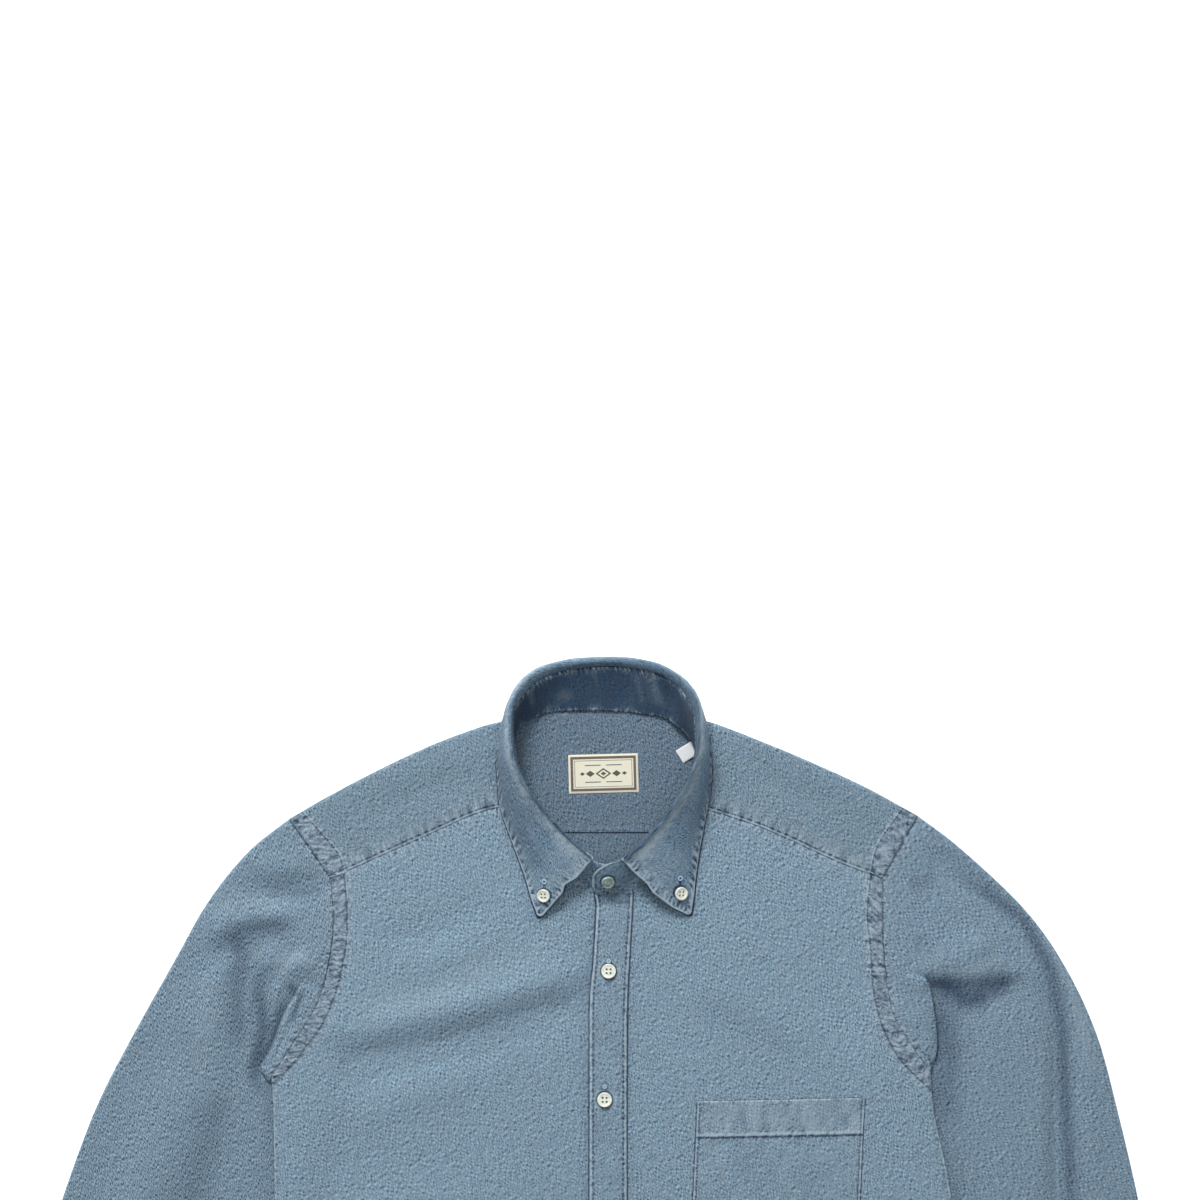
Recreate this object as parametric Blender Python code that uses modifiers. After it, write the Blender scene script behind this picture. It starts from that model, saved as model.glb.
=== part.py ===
"""A long-sleeved chambray shirt with a button-down collar, laid flat on its back.

The cut is written in millimetres on the plan of the laid garment: x runs towards the wearer's left
sleeve, y towards the collar, z up from the table, with y = 0 at the top of the collar. Each sheet of
cloth is given by its outer face, and Solidify grows the wall inward from it. At the end everything is
moved so that the origin is the middle of the footprint, on the table.
"""

import math

import bmesh
import bpy
import numpy as np
from mathutils import Matrix, Vector

MM = 0.001

# ---------------------------------------------------------------- driving sizes, in millimetres
WALL = 1.2                 # cloth of a panel
STAND_WALL = 1.6           # collar stand, two layers and interlining
LEAF_WALL = 1.4            # collar leaf
CUFF_WALL = 1.3
SEAM_GAP = 0.3             # between pieces, at seams and between layers
LOFT = 0.8                 # air between the two layers of the body
EDGE_ROLL = 2.4            # how far a folded edge rolls in plan
TUCK_LIFT = 3.8            # the body lies this much higher where a sleeve is tucked under its side
TUCK_RAMP = 30.0           # and comes down to the table over this distance
BACK_YOKE_SEAM_Y = -132.0  # inside the neck, where the yoke meets the back
HEM_SIDE_Y = -709.0        # bottom of the side seams
FRONT_HEM_Y = -754.0       # shirt-tail at centre front
BACK_HEM_Y = -768.0        # shirt-tail at centre back
PLACKET_PROUD = WALL + SEAM_GAP
BUTTON_SPACING = 97.5
BUTTON_COUNT = 5           # on the placket, below the one on the collar stand
BUTTON_RADIUS = 5.6        # 18-line shirt button
SMALL_BUTTON_RADIUS = 5.0  # 16-line, on the collar points and cuffs
BUTTON_HEIGHT = 2.4
CUFF_LENGTH = 65.0
LABEL_WIDTH = 53.0
LABEL_HEIGHT = 29.5
LABEL_WALL = 0.8
TAB_WIDTH = 11.0
TAB_LENGTH = 14.0

# ---------------------------------------------------------------- outlines, columns x, y
SHOULDER = {
    "right": [(-240, -122.5), (-211.5, -106), (-172.5, -85.5), (-133, -67), (-94, -52.5), (-72, -47.5)],
    "left": [(236, -120), (194.5, -97.5), (142.5, -74), (90, -53), (72, -47.5)],
}
FRONT_YOKE_SEAM = {
    "right": [(-209, -167.5), (-172.5, -151), (-132, -133), (-96.5, -117.5), (-61, -109.5)],
    "left": [(210, -167.5), (177.5, -155.5), (129, -133.5), (103, -123.5), (61, -110.5)],
}
FRONT_ARMHOLE = {
    "right": [(-209, -167.5), (-207, -196.5), (-208.5, -219.5), (-218, -260.5), (-237.5, -293.5), (-254, -318.5)],
    "left": [(210, -167.5), (210, -195.5), (210.5, -220), (217, -268), (236, -301), (246, -314)],
}
BACK_ARMHOLE = {
    "right": [(-231, -132), (-211, -178), (-205, -212), (-211, -250), (-223, -280), (-237, -301), (-254, -318.5)],
    "left": [(229, -132), (212, -178), (206.5, -212), (210.5, -245), (219, -278), (233, -302.5), (246, -314)],
}
SIDE_SEAM = {
    "right": [(-254, -318.5), (-252.5, -339.5), (-251, -411.5), (-248.5, -488.5), (-251, -602.5), (-257, HEM_SIDE_Y)],
    "left": [(246, -314), (249, -347), (262, -412.5), (267, -488.5), (263.5, -602.5), (266, HEM_SIDE_Y)],
}
SLEEVE_OUTER = {
    "right": [(-240, -122.5), (-270.5, -146.5), (-301.5, -184.5), (-327, -229.5), (-359.5, -287.5),
              (-387, -341.5), (-413, -411.5), (-430, -470), (-446, -530), (-459, -590), (-468, -642)],
    "left": [(236, -120), (269, -145), (318.5, -192), (349.5, -236.5), (372.5, -286), (387.5, -340.5),
             (404, -411.5), (414, -470), (423, -530), (430, -590), (434, -640)],
}
SLEEVE_INNER = {
    "right": [(-217, -302), (-219, -325), (-225, -352), (-231, -378), (-238, -408), (-248, -445),
              (-264, -480), (-281, -512), (-302, -564), (-326, -620), (-348, -663)],
    "left": [(209, -298), (211, -322), (218, -350), (226, -378), (234, -408), (242, -440),
             (253, -475), (262, -500), (278, -549), (296, -605), (312, -650)],
}
NECK_EDGE = [(-72, -47.5), (-66, -44.5), (-56, -40.5), (-42, -38.8), (-22, -38.5), (0, -38.5)]
FRONT_NECK = [(-61, -109.5), (-57.5, -116), (-49.5, -132), (-39.4, -147.5), (-26.3, -161.5), (-12.8, -170.5),
              (0, -174.4), (12.8, -173.5)]
CENTRE_SPLIT = [(12.8, -173.5), (10, -230), (9, -336), (9, FRONT_HEM_Y)]
PLACKET_LEFT = [(-8.5, -180.3), (-7.2, -190), (-9.5, -230.5), (-12.2, -262), (-12.5, -336.5), (-12.5, FRONT_HEM_Y + 1)]
PLACKET_RIGHT = [(19.5, -178.8), (18.8, -190), (16.5, -230.5), (15, -262), (14.5, -336.5), (15, FRONT_HEM_Y + 1)]
POCKET_TOP_LEFT, POCKET_TOP_RIGHT = (69.5, -337.0), (196.0, -334.5)
POCKET_SIDE, POCKET_POINT = 128.0, 14.0    # straight side, and how much lower the pointed bottom reaches
POCKET_LEAN = math.radians(-2.6)           # the pocket hangs slightly off the vertical
POCKET_EASE = 0.25         # air behind the pocket

# Where the columns of a sleeve leave its armhole: share of the seam, degrees from the sideways direction
SLEEVE_FAN = [(0, -84), (0.07, -70), (0.15, -32), (0.24, -12), (0.35, -6), (0.50, -6), (0.80, -25), (1, -38)]
SLEEVE_FAN_END = 0.35      # share of the sleeve's length over which the fan straightens
SLEEVE_RUN = 400.0         # length of the sleeve's inner edge

# Hem of one half, as shares: column 0 of the way from side seam to centre, column 1 of the drop
HEM_DROP = [(0, 0), (0.10, 0.12), (0.25, 0.50), (0.45, 0.80), (0.70, 0.95), (1, 1)]

# Soft folds of the upper layer: start x, y, end x, y, half-width, height (a trough is negative)
FOLDS = [
    (-290, -230, -338, -400, 40, 1.9),     # the roundness along each sleeve
    (-338, -400, -400, -620, 42, 1.7),
    (296, -215, 322, -400, 36, 1.7),
    (326, -400, 368, -620, 42, 1.7),
    (-276, -204, -258, -296, 11, -1.5),    # drag lines at the sleeve heads
    (-236, -225, -247, -292, 11, 1.3),
    (248, -242, 316, -240, 12, 1.7),
    (262, -262, 300, -264, 11, -1.3),
    (300, -190, 341, -262, 10, -1.4),      # the long crease beside the left sleeve's edge
    (341, -262, 345, -412, 10, -1.6),
    (-212, -318, -150, -280, 16, -0.6),    # body: soft drags from the armpits and beside the placket
    (-190, -345, -120, -300, 20, 0.8),
    (205, -330, 150, -285, 18, 0.7),
    (-40, -240, -28, -300, 14, 0.6),
    (-150, -430, -110, -640, 30, 0.9),
    (120, -520, 150, -690, 30, 0.9),
    (-200, -100, -110, -78, 16, 0.9),      # shoulders
    (110, -80, 200, -106, 16, 0.9),
]

# Collar, half stations from centre front to centre back: foot of the stand, then its top edge
STAND = [
    # foot_x, foot_y, top_x, top_y, top_z
    (13.5, -174.5, 13.5, -156.0, 14.0),
    (0.0, -176.5, 0.0, -156.5, 14.6),
    (13.5, -172.5, 11.5, -152.0, 16.0),
    (27.5, -163.5, 25.0, -140.0, 17.8),
    (41.0, -149.0, 37.0, -127.0, 20.0),
    (51.5, -133.0, 49.0, -112.0, 23.0),
    (60.0, -115.0, 59.0, -97.0, 26.0),
    (66.0, -95.0, 66.0, -82.0, 28.5),
    (69.0, -76.0, 69.0, -68.0, 29.5),
    (69.8, -59.5, 70.0, -55.0, 29.5),
    (66.0, -49.5, 69.0, -41.0, 27.5),
    (58.0, -44.0, 62.0, -28.0, 23.0),
    (44.0, -41.5, 50.0, -17.0, 18.0),
    (23.0, -41.0, 28.0, -9.5, 14.0),
    (0.0, -41.0, 0.0, -7.0, 12.5),
]
OVER_END_RAISED = (3.2, 3.2, 1.8, 0.4)     # at x = 0, 13.5, 27.5 and 41 of the wearer's left side
OVER_END = [                          # its rounded tip, past centre front: foot x, y, then top x, y, z
    (-7.0, -177.6, -6.5, -160.5, 16.6),
    (-10.6, -174.5, -10.4, -165.5, 13.6),
]
# Leaf of one side, from the leading edge to centre back: the ridge it folds over, then its free edge.
# edge_over is the height of the edge above what it lies on.
LEAF = {
    "right": [
        # ridge_x, ridge_y, ridge_z, edge_x, edge_y, edge_over
        (-10.0, -152.0, 21.5, -51.5, -198.5, 1.3),
        (-22.0, -141.5, 23.5, -56.0, -186.0, 1.3),
        (-34.0, -130.0, 25.0, -60.5, -167.0, 1.5),
        (-45.5, -117.0, 28.0, -66.5, -148.0, 1.8),
        (-55.5, -104.0, 31.0, -72.5, -130.5, 2.0),
        (-64.5, -90.5, 33.5, -78.5, -113.0, 2.2),
        (-71.0, -76.0, 35.0, -82.0, -94.5, 2.4),
        (-74.0, -61.5, 35.0, -83.0, -77.0, 2.6),
        (-74.8, -47.0, 33.5, -81.5, -61.5, 3.0),
        (-72.0, -33.5, 30.5, -80.0, -48.0, 3.8),
        (-63.5, -21.0, 26.5, -74.5, -39.0, 3.2),
        (-49.5, -11.0, 21.5, -60.5, -35.0, 1.2),
        (-31.0, -5.0, 18.5, -32.5, -34.0, 0.9),
        (0.0, -2.5, 17.0, 0.0, -34.0, 0.9),
    ],
    "left": [
        (12.5, -153.0, 24.5, 65.0, -196.0, 1.3),
        (23.5, -144.5, 25.3, 66.5, -186.5, 1.3),
        (34.0, -134.0, 26.2, 68.0, -168.0, 1.5),
        (44.0, -121.0, 28.0, 70.5, -149.5, 1.8),
        (53.0, -108.0, 31.0, 73.5, -132.0, 2.0),
        (61.5, -94.0, 33.5, 77.0, -113.0, 2.2),
        (68.0, -80.5, 35.0, 79.5, -97.5, 2.4),
        (72.0, -66.0, 35.0, 80.8, -82.0, 2.6),
        (73.6, -50.0, 33.5, 80.5, -66.0, 3.0),
        (71.8, -35.5, 30.5, 79.0, -50.0, 3.8),
        (64.5, -22.5, 26.5, 74.5, -39.0, 3.2),
        (50.0, -11.5, 21.5, 60.5, -35.0, 1.2),
        (30.0, -5.0, 18.5, 32.5, -34.0, 0.9),
        (0.0, -2.5, 17.0, 0.0, -34.0, 0.9),
    ],
}
ON_TABLE_FROM = 10         # from this leaf station to centre back the edge lies on the table
LEAF_START = (1.8, 1.8, 1.7, 1.5, 1.4, 1.3, 1.2, 1.2, 1.2, 1.2, 1.2, 1.1, 1.0, 1.0)   # above the stand's top
LEAF_UNDER = (0, 0, 0, 0, 0, 0, 0, 0, 0, 0.15, 0.5, 0.9, 1, 1)   # how far each section turns under the stand

# ---------------------------------------------------------------- how finely each seam is sampled
# shares of the yoke seam and of the back's width, closer together near the sides
YOKE_SEAM_AT = (0, 0.05, 0.10, 0.16, 0.22, 0.29, 0.37, 0.47, 0.60, 0.80, 1)
BACK_AT = (0, 0.016, 0.032, 0.052, 0.072, 0.095, 0.122, 0.17, 0.25, 0.37,
           0.5, 0.63, 0.75, 0.83, 0.878, 0.905, 0.928, 0.948, 0.968, 0.984, 1)
NECK_STEPS = 10
ARM_YOKE_STEPS = 3
ARM_FRONT_STEPS = 9
ARM_BACK_YOKE_STEPS = 1
ARM_BACK_STEPS = 10
SIDE_AT = (0, 0.03, 0.065, 0.11, 0.18, 0.28, 0.40, 0.55, 0.70, 0.85, 1)    # closer together at the armpit


# ---------------------------------------------------------------- curves
def smooth_points(points, steps):
    """Points at equal distances along the smooth curve through these, ends included."""
    p = np.array(points, float)
    ends = np.vstack([2 * p[0] - p[1], p, 2 * p[-1] - p[-2]])
    fine = []
    for i in range(1, len(ends) - 2):
        for u in np.linspace(0, 1, 16, endpoint=False):
            a, b, c, d = ends[i - 1], ends[i], ends[i + 1], ends[i + 2]
            fine.append(0.5 * (2 * b + (c - a) * u + (2 * a - 5 * b + 4 * c - d) * u**2
                               + (3 * b - a - 3 * c + d) * u**3))
    fine.append(p[-1])
    return at_shares(np.array(fine), np.linspace(0, 1, steps + 1))


def shares_of(points):
    """How far along the polyline each of its points is, from 0 to 1."""
    lengths = np.linalg.norm(np.diff(points, axis=0), axis=1)
    return np.concatenate([[0], np.cumsum(lengths)]) / lengths.sum()


def at_shares(points, shares):
    """Points of the polyline at these shares of its length."""
    points = np.asarray(points, float)
    along = shares_of(points)
    return np.stack([np.interp(shares, along, points[:, k]) for k in range(points.shape[1])], axis=1)


def joined(*runs):
    """Several runs of points, each starting where the last one ends, as one."""
    return np.vstack([runs[0], *[run[1:] for run in runs[1:]]])


def pushed(points, gap, towards):
    """The polyline moved sideways by gap, to the side where the point towards lies."""
    points = np.asarray(points, float)
    run = np.gradient(points, axis=0)
    side = np.stack([-run[:, 1], run[:, 0]], axis=1) / np.linalg.norm(run, axis=1)[:, None]
    middle = points[len(points) // 2]
    if np.dot(side[len(points) // 2], np.array(towards) - middle) < 0:
        side = -side
    return points + gap * side


def patch(top, bottom, left, right, i, j):
    """Point (i, j) of the Coons patch between four sampled lines: top and bottom run with i, the others with j."""
    s = (shares_of(top)[i] + shares_of(bottom)[i]) / 2
    t = (shares_of(left)[j] + shares_of(right)[j]) / 2
    ruled_t = (1 - t) * top[i] + t * bottom[i]
    ruled_s = (1 - s) * left[j] + s * right[j]
    corners = ((1 - s) * (1 - t) * top[0] + s * (1 - t) * top[-1]
               + (1 - s) * t * bottom[0] + s * t * bottom[-1])
    return ruled_t + ruled_s - corners


def ease(x):
    """0 below 0, 1 above 1, smooth between."""
    x = min(1.0, max(0.0, x))
    return x * x * (3 - 2 * x)


# ---------------------------------------------------------------- heights of the laid cloth
def inner_edge_x(side, y):
    """How far from the centre line the sleeve's inner edge is at this y."""
    line = smooth_points(SLEEVE_INNER[side], 40)
    order = np.argsort(line[:, 1])
    return abs(float(np.interp(y, line[order, 1], line[order, 0])))


INNER_EDGE = {side: [(y, inner_edge_x(side, y)) for y in range(-700, -295, 5)] for side in SLEEVE_INNER}


def body_lift(x, y):
    """How far the underside of the body is off the table: it rises over a sleeve tucked under its side."""
    side = "right" if x < 0 else "left"
    top_y = SIDE_SEAM[side][0][1]
    ys, xs = zip(*INNER_EDGE[side])
    clear = float(np.interp(y, ys, xs)) - abs(x)
    return TUCK_LIFT * ease((top_y + 74 - y) / 44) * (1 - ease((clear - 3) / TUCK_RAMP))


def folds(x, y):
    """Height that the soft folds add to the upper layer."""
    total = 0.0
    for x0, y0, x1, y1, width, height in FOLDS:
        run = np.array([x1 - x0, y1 - y0], float)
        share = min(1.0, max(0.0, np.dot([x - x0, y - y0], run) / np.dot(run, run)))
        away = math.hypot(x - x0 - share * run[0], y - y0 - share * run[1])
        total += height * math.exp(-((away / width) ** 2))
    return total


def shoulder_rise(x, y):
    """The upper layer stands higher along the shoulder fold and round the neck."""
    line = SHOULDER["right" if x < 0 else "left"]
    nearest = min(math.hypot(x - a, y - b) for a, b in at_shares(line, np.linspace(0, 1, 12)))
    return 1.6 * math.exp(-((nearest / 45) ** 2))


def upper_top(x, y, lift=True):
    """Outer face of the upper layer: fronts, yoke front and the tops of the sleeves."""
    free = LOFT + folds(x, y) + shoulder_rise(x, y)
    base = 2 * WALL + SEAM_GAP + (body_lift(x, y) if lift else 0.0)
    return base + max(0.0, free)


# ---------------------------------------------------------------- building
def linear_colour(srgb):
    return [((c + 0.055) / 1.055) ** 2.4 if c > 0.04045 else c / 12.92 for c in srgb] + [1.0]


def finish(name, srgb, roughness):
    material = bpy.data.materials.new(name)
    material.use_nodes = True
    shader = material.node_tree.nodes["Principled BSDF"]
    shader.inputs["Base Color"].default_value = linear_colour(srgb)
    shader.inputs["Roughness"].default_value = roughness
    shader.inputs["Metallic"].default_value = 0.0
    return material


def add_to(collection, name, shape, material):
    mesh = bpy.data.meshes.new(name)
    shape.to_mesh(mesh)
    shape.free()
    mesh.materials.append(material)
    piece = bpy.data.objects.new(name, mesh)
    collection.objects.link(piece)
    return piece


def cloth(collection, name, columns, rows, place, wall, material, grow=-1.0, keep=None, tube=False):
    """A sheet of cloth: a grid whose point (i, j) is put at place(i, j), the garment's outer face, in mm.

    grow says where the wall is: -1 below the grid's face, 1 above it, 0 half on each side of it.
    keep(i, j) says which cells stay, and tube joins the last column to the first."""
    shape = bmesh.new()
    bmesh.ops.create_grid(shape, x_segments=columns, y_segments=rows, size=0.5)
    cell = {}
    for vert in shape.verts:
        i, j = round((vert.co.x + 0.5) * columns), round((vert.co.y + 0.5) * rows)
        cell[vert] = (i, j)
    if keep:
        dropped = [f for f in shape.faces
                   if not keep(min(cell[v][0] for v in f.verts), min(cell[v][1] for v in f.verts))]
        bmesh.ops.delete(shape, geom=dropped, context="FACES")
    for vert in shape.verts:
        vert.co = Vector(place(*cell[vert])) * MM
    if tube:
        bmesh.ops.remove_doubles(shape, verts=shape.verts, dist=1e-6)
    piece = add_to(collection, name, shape, material)
    solid = piece.modifiers.new("wall", "SOLIDIFY")
    solid.thickness = wall * MM
    solid.offset = grow
    return piece


# ---------------------------------------------------------------- seams shared by neighbours
def side_lines(side):
    """The sampled seams of one side of the shirt."""
    yoke_seam = at_shares(smooth_points(FRONT_YOKE_SEAM[side], 60), YOKE_SEAM_AT)
    corner, point = yoke_seam[0], np.array(SHOULDER[side][0], float)
    arm_yoke = at_shares(np.array([corner, point]), np.linspace(0, 1, ARM_YOKE_STEPS + 1))
    arm_front = smooth_points(FRONT_ARMHOLE[side], ARM_FRONT_STEPS)
    arm_back = smooth_points(BACK_ARMHOLE[side], ARM_BACK_STEPS)
    back_corner = np.array(BACK_ARMHOLE[side][0], float)
    return {
        "yoke_seam": yoke_seam,
        "arm_yoke": arm_yoke,
        "arm_front": arm_front,
        "arm_back_yoke": at_shares(np.array([back_corner, point]), np.linspace(0, 1, ARM_BACK_YOKE_STEPS + 1)),
        "arm_back": arm_back,
        "side": at_shares(smooth_points(SIDE_SEAM[side], 80), SIDE_AT),
        "shoulder": at_shares(smooth_points(SHOULDER[side], 60), YOKE_SEAM_AT),
    }


def hem_line(side_point, centre_x, centre_y):
    """Shirt-tail hem from the side seam to centre."""
    shares = np.array(HEM_DROP, float)
    x = side_point[0] + shares[:, 0] * (centre_x - side_point[0])
    y = side_point[1] + shares[:, 1] * (centre_y - side_point[1])
    return smooth_points(np.stack([x, y], axis=1), 16)


def edge_drop(x, y, side):
    """How far the front's outer face rolls down to meet the back along the side seam."""
    ys = [b for a, b in SIDE_SEAM[side]][::-1]
    xs = [abs(a) for a, b in SIDE_SEAM[side]][::-1]
    if y > SIDE_SEAM[side][0][1]:
        return 0.0
    inside = float(np.interp(y, ys, xs)) - abs(x)
    return LOFT * (1 - ease(inside / 12)) * ease((SIDE_SEAM[side][0][1] - y) / 20)


# ---------------------------------------------------------------- body panels
def back_panel(collection, material):
    """The back, from the yoke seam to the shirt-tail, its outer face on the table."""
    right, left = side_lines("right"), side_lines("left")
    edge_r = joined(right["arm_back"], right["side"])
    edge_l = joined(left["arm_back"], left["side"])
    top = at_shares([edge_r[0], edge_l[0]], BACK_AT)
    centre = (edge_r[-1][0] + edge_l[-1][0]) / 2
    hem = joined(hem_line(edge_r[-1], centre, BACK_HEM_Y), hem_line(edge_l[-1], centre, BACK_HEM_Y)[::-1])
    hem = at_shares(hem, BACK_AT)
    rows = len(edge_r) - 1

    def place(i, j):
        x, y = patch(top, hem, edge_r, edge_l, i, rows - j)
        return x, y, body_lift(x, y)

    return cloth(collection, "back_panel", len(BACK_AT) - 1, rows, place, WALL, material, grow=1.0)


def front_panel(collection, side, name, material):
    """One front, from the yoke seam and neck to the hem. Its outer face is the upper layer's."""
    lines = side_lines(side)
    outward = -1 if side == "right" else 1
    mirror = np.array([1.0 if side == "right" else -1.0, 1.0])
    neck = smooth_points(np.array(FRONT_NECK) * mirror, NECK_STEPS)
    split = smooth_points(CENTRE_SPLIT, 14)
    split[:, 0] += outward * SEAM_GAP / 2
    if side == "left":                   # this front stops at the split, short of centre front
        neck = neck[: int(NECK_STEPS * 0.78) + 1]
        neck[-1] = split[0] + (0, 0.8)
        split[0] = neck[-1]
    neck[-1] = split[0]
    seam = pushed(lines["yoke_seam"], SEAM_GAP / 2, (0, -400))
    neck[0] = seam[-1]
    top = joined(seam, neck)
    top[0] = lines["arm_front"][0]
    edge = joined(lines["arm_front"], lines["side"])
    hem = at_shares(hem_line(edge[-1], split[-1][0], FRONT_HEM_Y), shares_of(top))
    split = at_shares(split, shares_of(edge))
    columns, rows = len(top) - 1, len(edge) - 1

    def place(i, j):
        x, y = patch(top, hem, edge, split, i if side == "right" else columns - i, rows - j)
        return x, y, upper_top(x, y) - edge_drop(x, y, side)

    return cloth(collection, name, columns, rows, place, WALL, material)


def yoke(collection, material):
    """The yoke: its back part on the table, folded over both shoulders to the front seams."""
    right, left = side_lines("right"), side_lines("left")
    neck = smooth_points(NECK_EDGE, NECK_STEPS // 2)
    neck = joined(neck, (neck * (-1, 1))[::-1])
    top = joined(right["shoulder"], neck, left["shoulder"][::-1])
    seam_x = np.interp(shares_of(top), [0, 1], [BACK_ARMHOLE["right"][0][0], BACK_ARMHOLE["left"][0][0]])
    fronts = {i: p for i, p in enumerate(right["yoke_seam"])}
    fronts.update({len(top) - 1 - i: p for i, p in enumerate(left["yoke_seam"])})
    back_rows, roll_rows, front_rows = 4, 5, 5
    rows = back_rows + roll_rows + front_rows
    foot_y = BACK_YOKE_SEAM_Y + SEAM_GAP

    def place(i, j):
        fold = top[i]
        foot = np.array([seam_x[i], foot_y])
        if i not in fronts:
            share = min(j, back_rows) / back_rows
            x, y = foot + share * (fold - foot)
            return x, y, 0.0
        seam = fronts[i] + (0, SEAM_GAP / 2)
        down, out = foot - fold, seam - fold
        start = fold + EDGE_ROLL * down / max(np.linalg.norm(down), 1e-6)
        over = fold + EDGE_ROLL * out / np.linalg.norm(out)
        high = upper_top(*over)
        if j <= back_rows:
            x, y = foot + (j / back_rows) * (start - foot)
            return x, y, 0.0
        if j <= back_rows + roll_rows:
            turn = math.pi * (j - back_rows) / roll_rows
            level = (1 - math.cos(turn)) / 2
            inset = start + level * (over - start)
            x, y = inset + math.sin(turn) * (fold - (start + over) / 2)
            return x, y, high * level
        x, y = over + (j - back_rows - roll_rows) / front_rows * (seam - over)
        return x, y, upper_top(x, y)

    def keep(i, j):
        return j < back_rows or (i in fronts and i + 1 in fronts)

    return cloth(collection, "yoke", len(top) - 1, rows, place, WALL, material, grow=1.0, keep=keep)


# ---------------------------------------------------------------- sleeves and cuffs
def sleeve_edges(side):
    return smooth_points(SLEEVE_INNER[side], 40), smooth_points(SLEEVE_OUTER[side], 40)


def body_edge_x(side, y):
    """How far from the centre line the body's edge is: the armhole, then the side seam."""
    line = FRONT_ARMHOLE[side][:0:-1] + SIDE_SEAM[side][1:]
    line = sorted((b, abs(a)) for a, b in line)
    return float(np.interp(y, *zip(*line)))


def sleeve_top(x, y, side):
    """Outer face of a sleeve's upper layer. It is thin where it passes under the body's side."""
    free = upper_top(x, y, lift=False)
    out = abs(x) - body_edge_x(side, y)
    low = TUCK_LIFT - SEAM_GAP - 0.25
    armpit_y = SIDE_SEAM[side][0][1]
    tucked = ease((armpit_y + 60 - y) / 28) * (1 - ease((out - 4) / 28))
    return free + (min(low, free) - free) * tucked


def sleeve_plan(seam, inner, outer, side, s, t):
    """Plan point of one layer of a sleeve: s from the inner to the outer edge, t down from the armhole.

    Near the armhole the columns fan out from it; further down they run between the two edges."""
    sign = -1 if side == "right" else 1

    def lead(s_at):
        turn = math.radians(np.interp(s_at, *zip(*SLEEVE_FAN)))
        out = np.array([sign * math.cos(turn), math.sin(turn)])
        start = at_shares(seam, [s_at])[0]
        return start + t * SLEEVE_RUN * out - ruled(s_at)

    def ruled(s_at):
        return (1 - s_at) * at_shares(inner, [t])[0] + s_at * at_shares(outer, [t])[0]

    if t > SLEEVE_FAN_END:
        return ruled(s)
    extra = lead(s) - (1 - s) ** 8 * lead(0.0) - s ** 8 * lead(1.0)
    return ruled(s) + (1 - ease(t / SLEEVE_FAN_END)) * extra


def sleeve(collection, side, name, material):
    """A set-in sleeve as a flattened tube, from the armhole seam to the cuff seam."""
    lines = side_lines(side)
    inner, outer = sleeve_edges(side)
    away = outer[20]
    front_seam = pushed(joined(lines["arm_front"][::-1], lines["arm_yoke"]), SEAM_GAP, away)
    back_seam = pushed(joined(lines["arm_back"][::-1], lines["arm_back_yoke"]), SEAM_GAP, away)
    outer[0] = back_seam[-1] = front_seam[-1]
    for seam in (front_seam, back_seam):     # at the armpit the seam leaves the body's edge and runs under it
        seam[0], seam[1] = inner[0], (inner[0] + seam[2]) / 2
    rows = 20
    along = np.linspace(0, 1, rows + 1) ** 1.12
    over, under = shares_of(front_seam), shares_of(back_seam)
    loop = ([("top", s) for s in over[1:-1]] + [("outer", k / 2) for k in range(3)]
            + [("bottom", s) for s in under[1:-1][::-1]] + [("inner", k / 2) for k in range(3)])

    def place(i, j):
        where, value = loop[i % len(loop)]
        t = along[j] if side == "left" else along[rows - j]

        def upper(s):
            x, y = sleeve_plan(front_seam, inner, outer, side, s, t)
            return np.array([x, y, sleeve_top(x, y, side)])

        def lower(s):
            x, y = sleeve_plan(back_seam, inner, outer, side, s, t)
            return np.array([x, y, 0.0])

        if where == "top":
            return upper(value)
        if where == "bottom":
            return lower(value)
        width = np.linalg.norm(at_shares(outer, [t])[0] - at_shares(inner, [t])[0])
        rim = EDGE_ROLL / width
        edge_s, rim_s = (1.0, 1.0 - rim) if where == "outer" else (0.0, rim)
        high, low, tip = upper(rim_s), lower(rim_s), upper(edge_s)
        turn = math.pi * (value if where == "outer" else 1 - value)
        level = (1 + math.cos(turn)) / 2
        flat = low[:2] + level * (high[:2] - low[:2])
        reach = math.sin(turn) * (tip[:2] - (high[:2] + low[:2]) / 2)
        return flat[0] + reach[0], flat[1] + reach[1], high[2] * level

    return cloth(collection, name, len(loop), rows, place, WALL, material, grow=1.0, tube=True)


def cuff_frame(side):
    """Corner points of a cuff: inner and outer at the sleeve, and the direction down the cuff."""
    inner, outer = sleeve_edges(side)
    across = outer[-1] - inner[-1]
    across /= np.linalg.norm(across)
    down = np.array([across[1], -across[0]]) * (-1 if side == "left" else 1)
    if down[1] > 0:
        down = -down
    return inner[-1] + 5 * across + SEAM_GAP * down, outer[-1] - 5 * across + SEAM_GAP * down, across, down


CUFF_LAP = 0.30, 0.52      # where the cuff's two ends lie, as shares of its width from the inner edge
CUFF_TOP = 5.2


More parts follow.
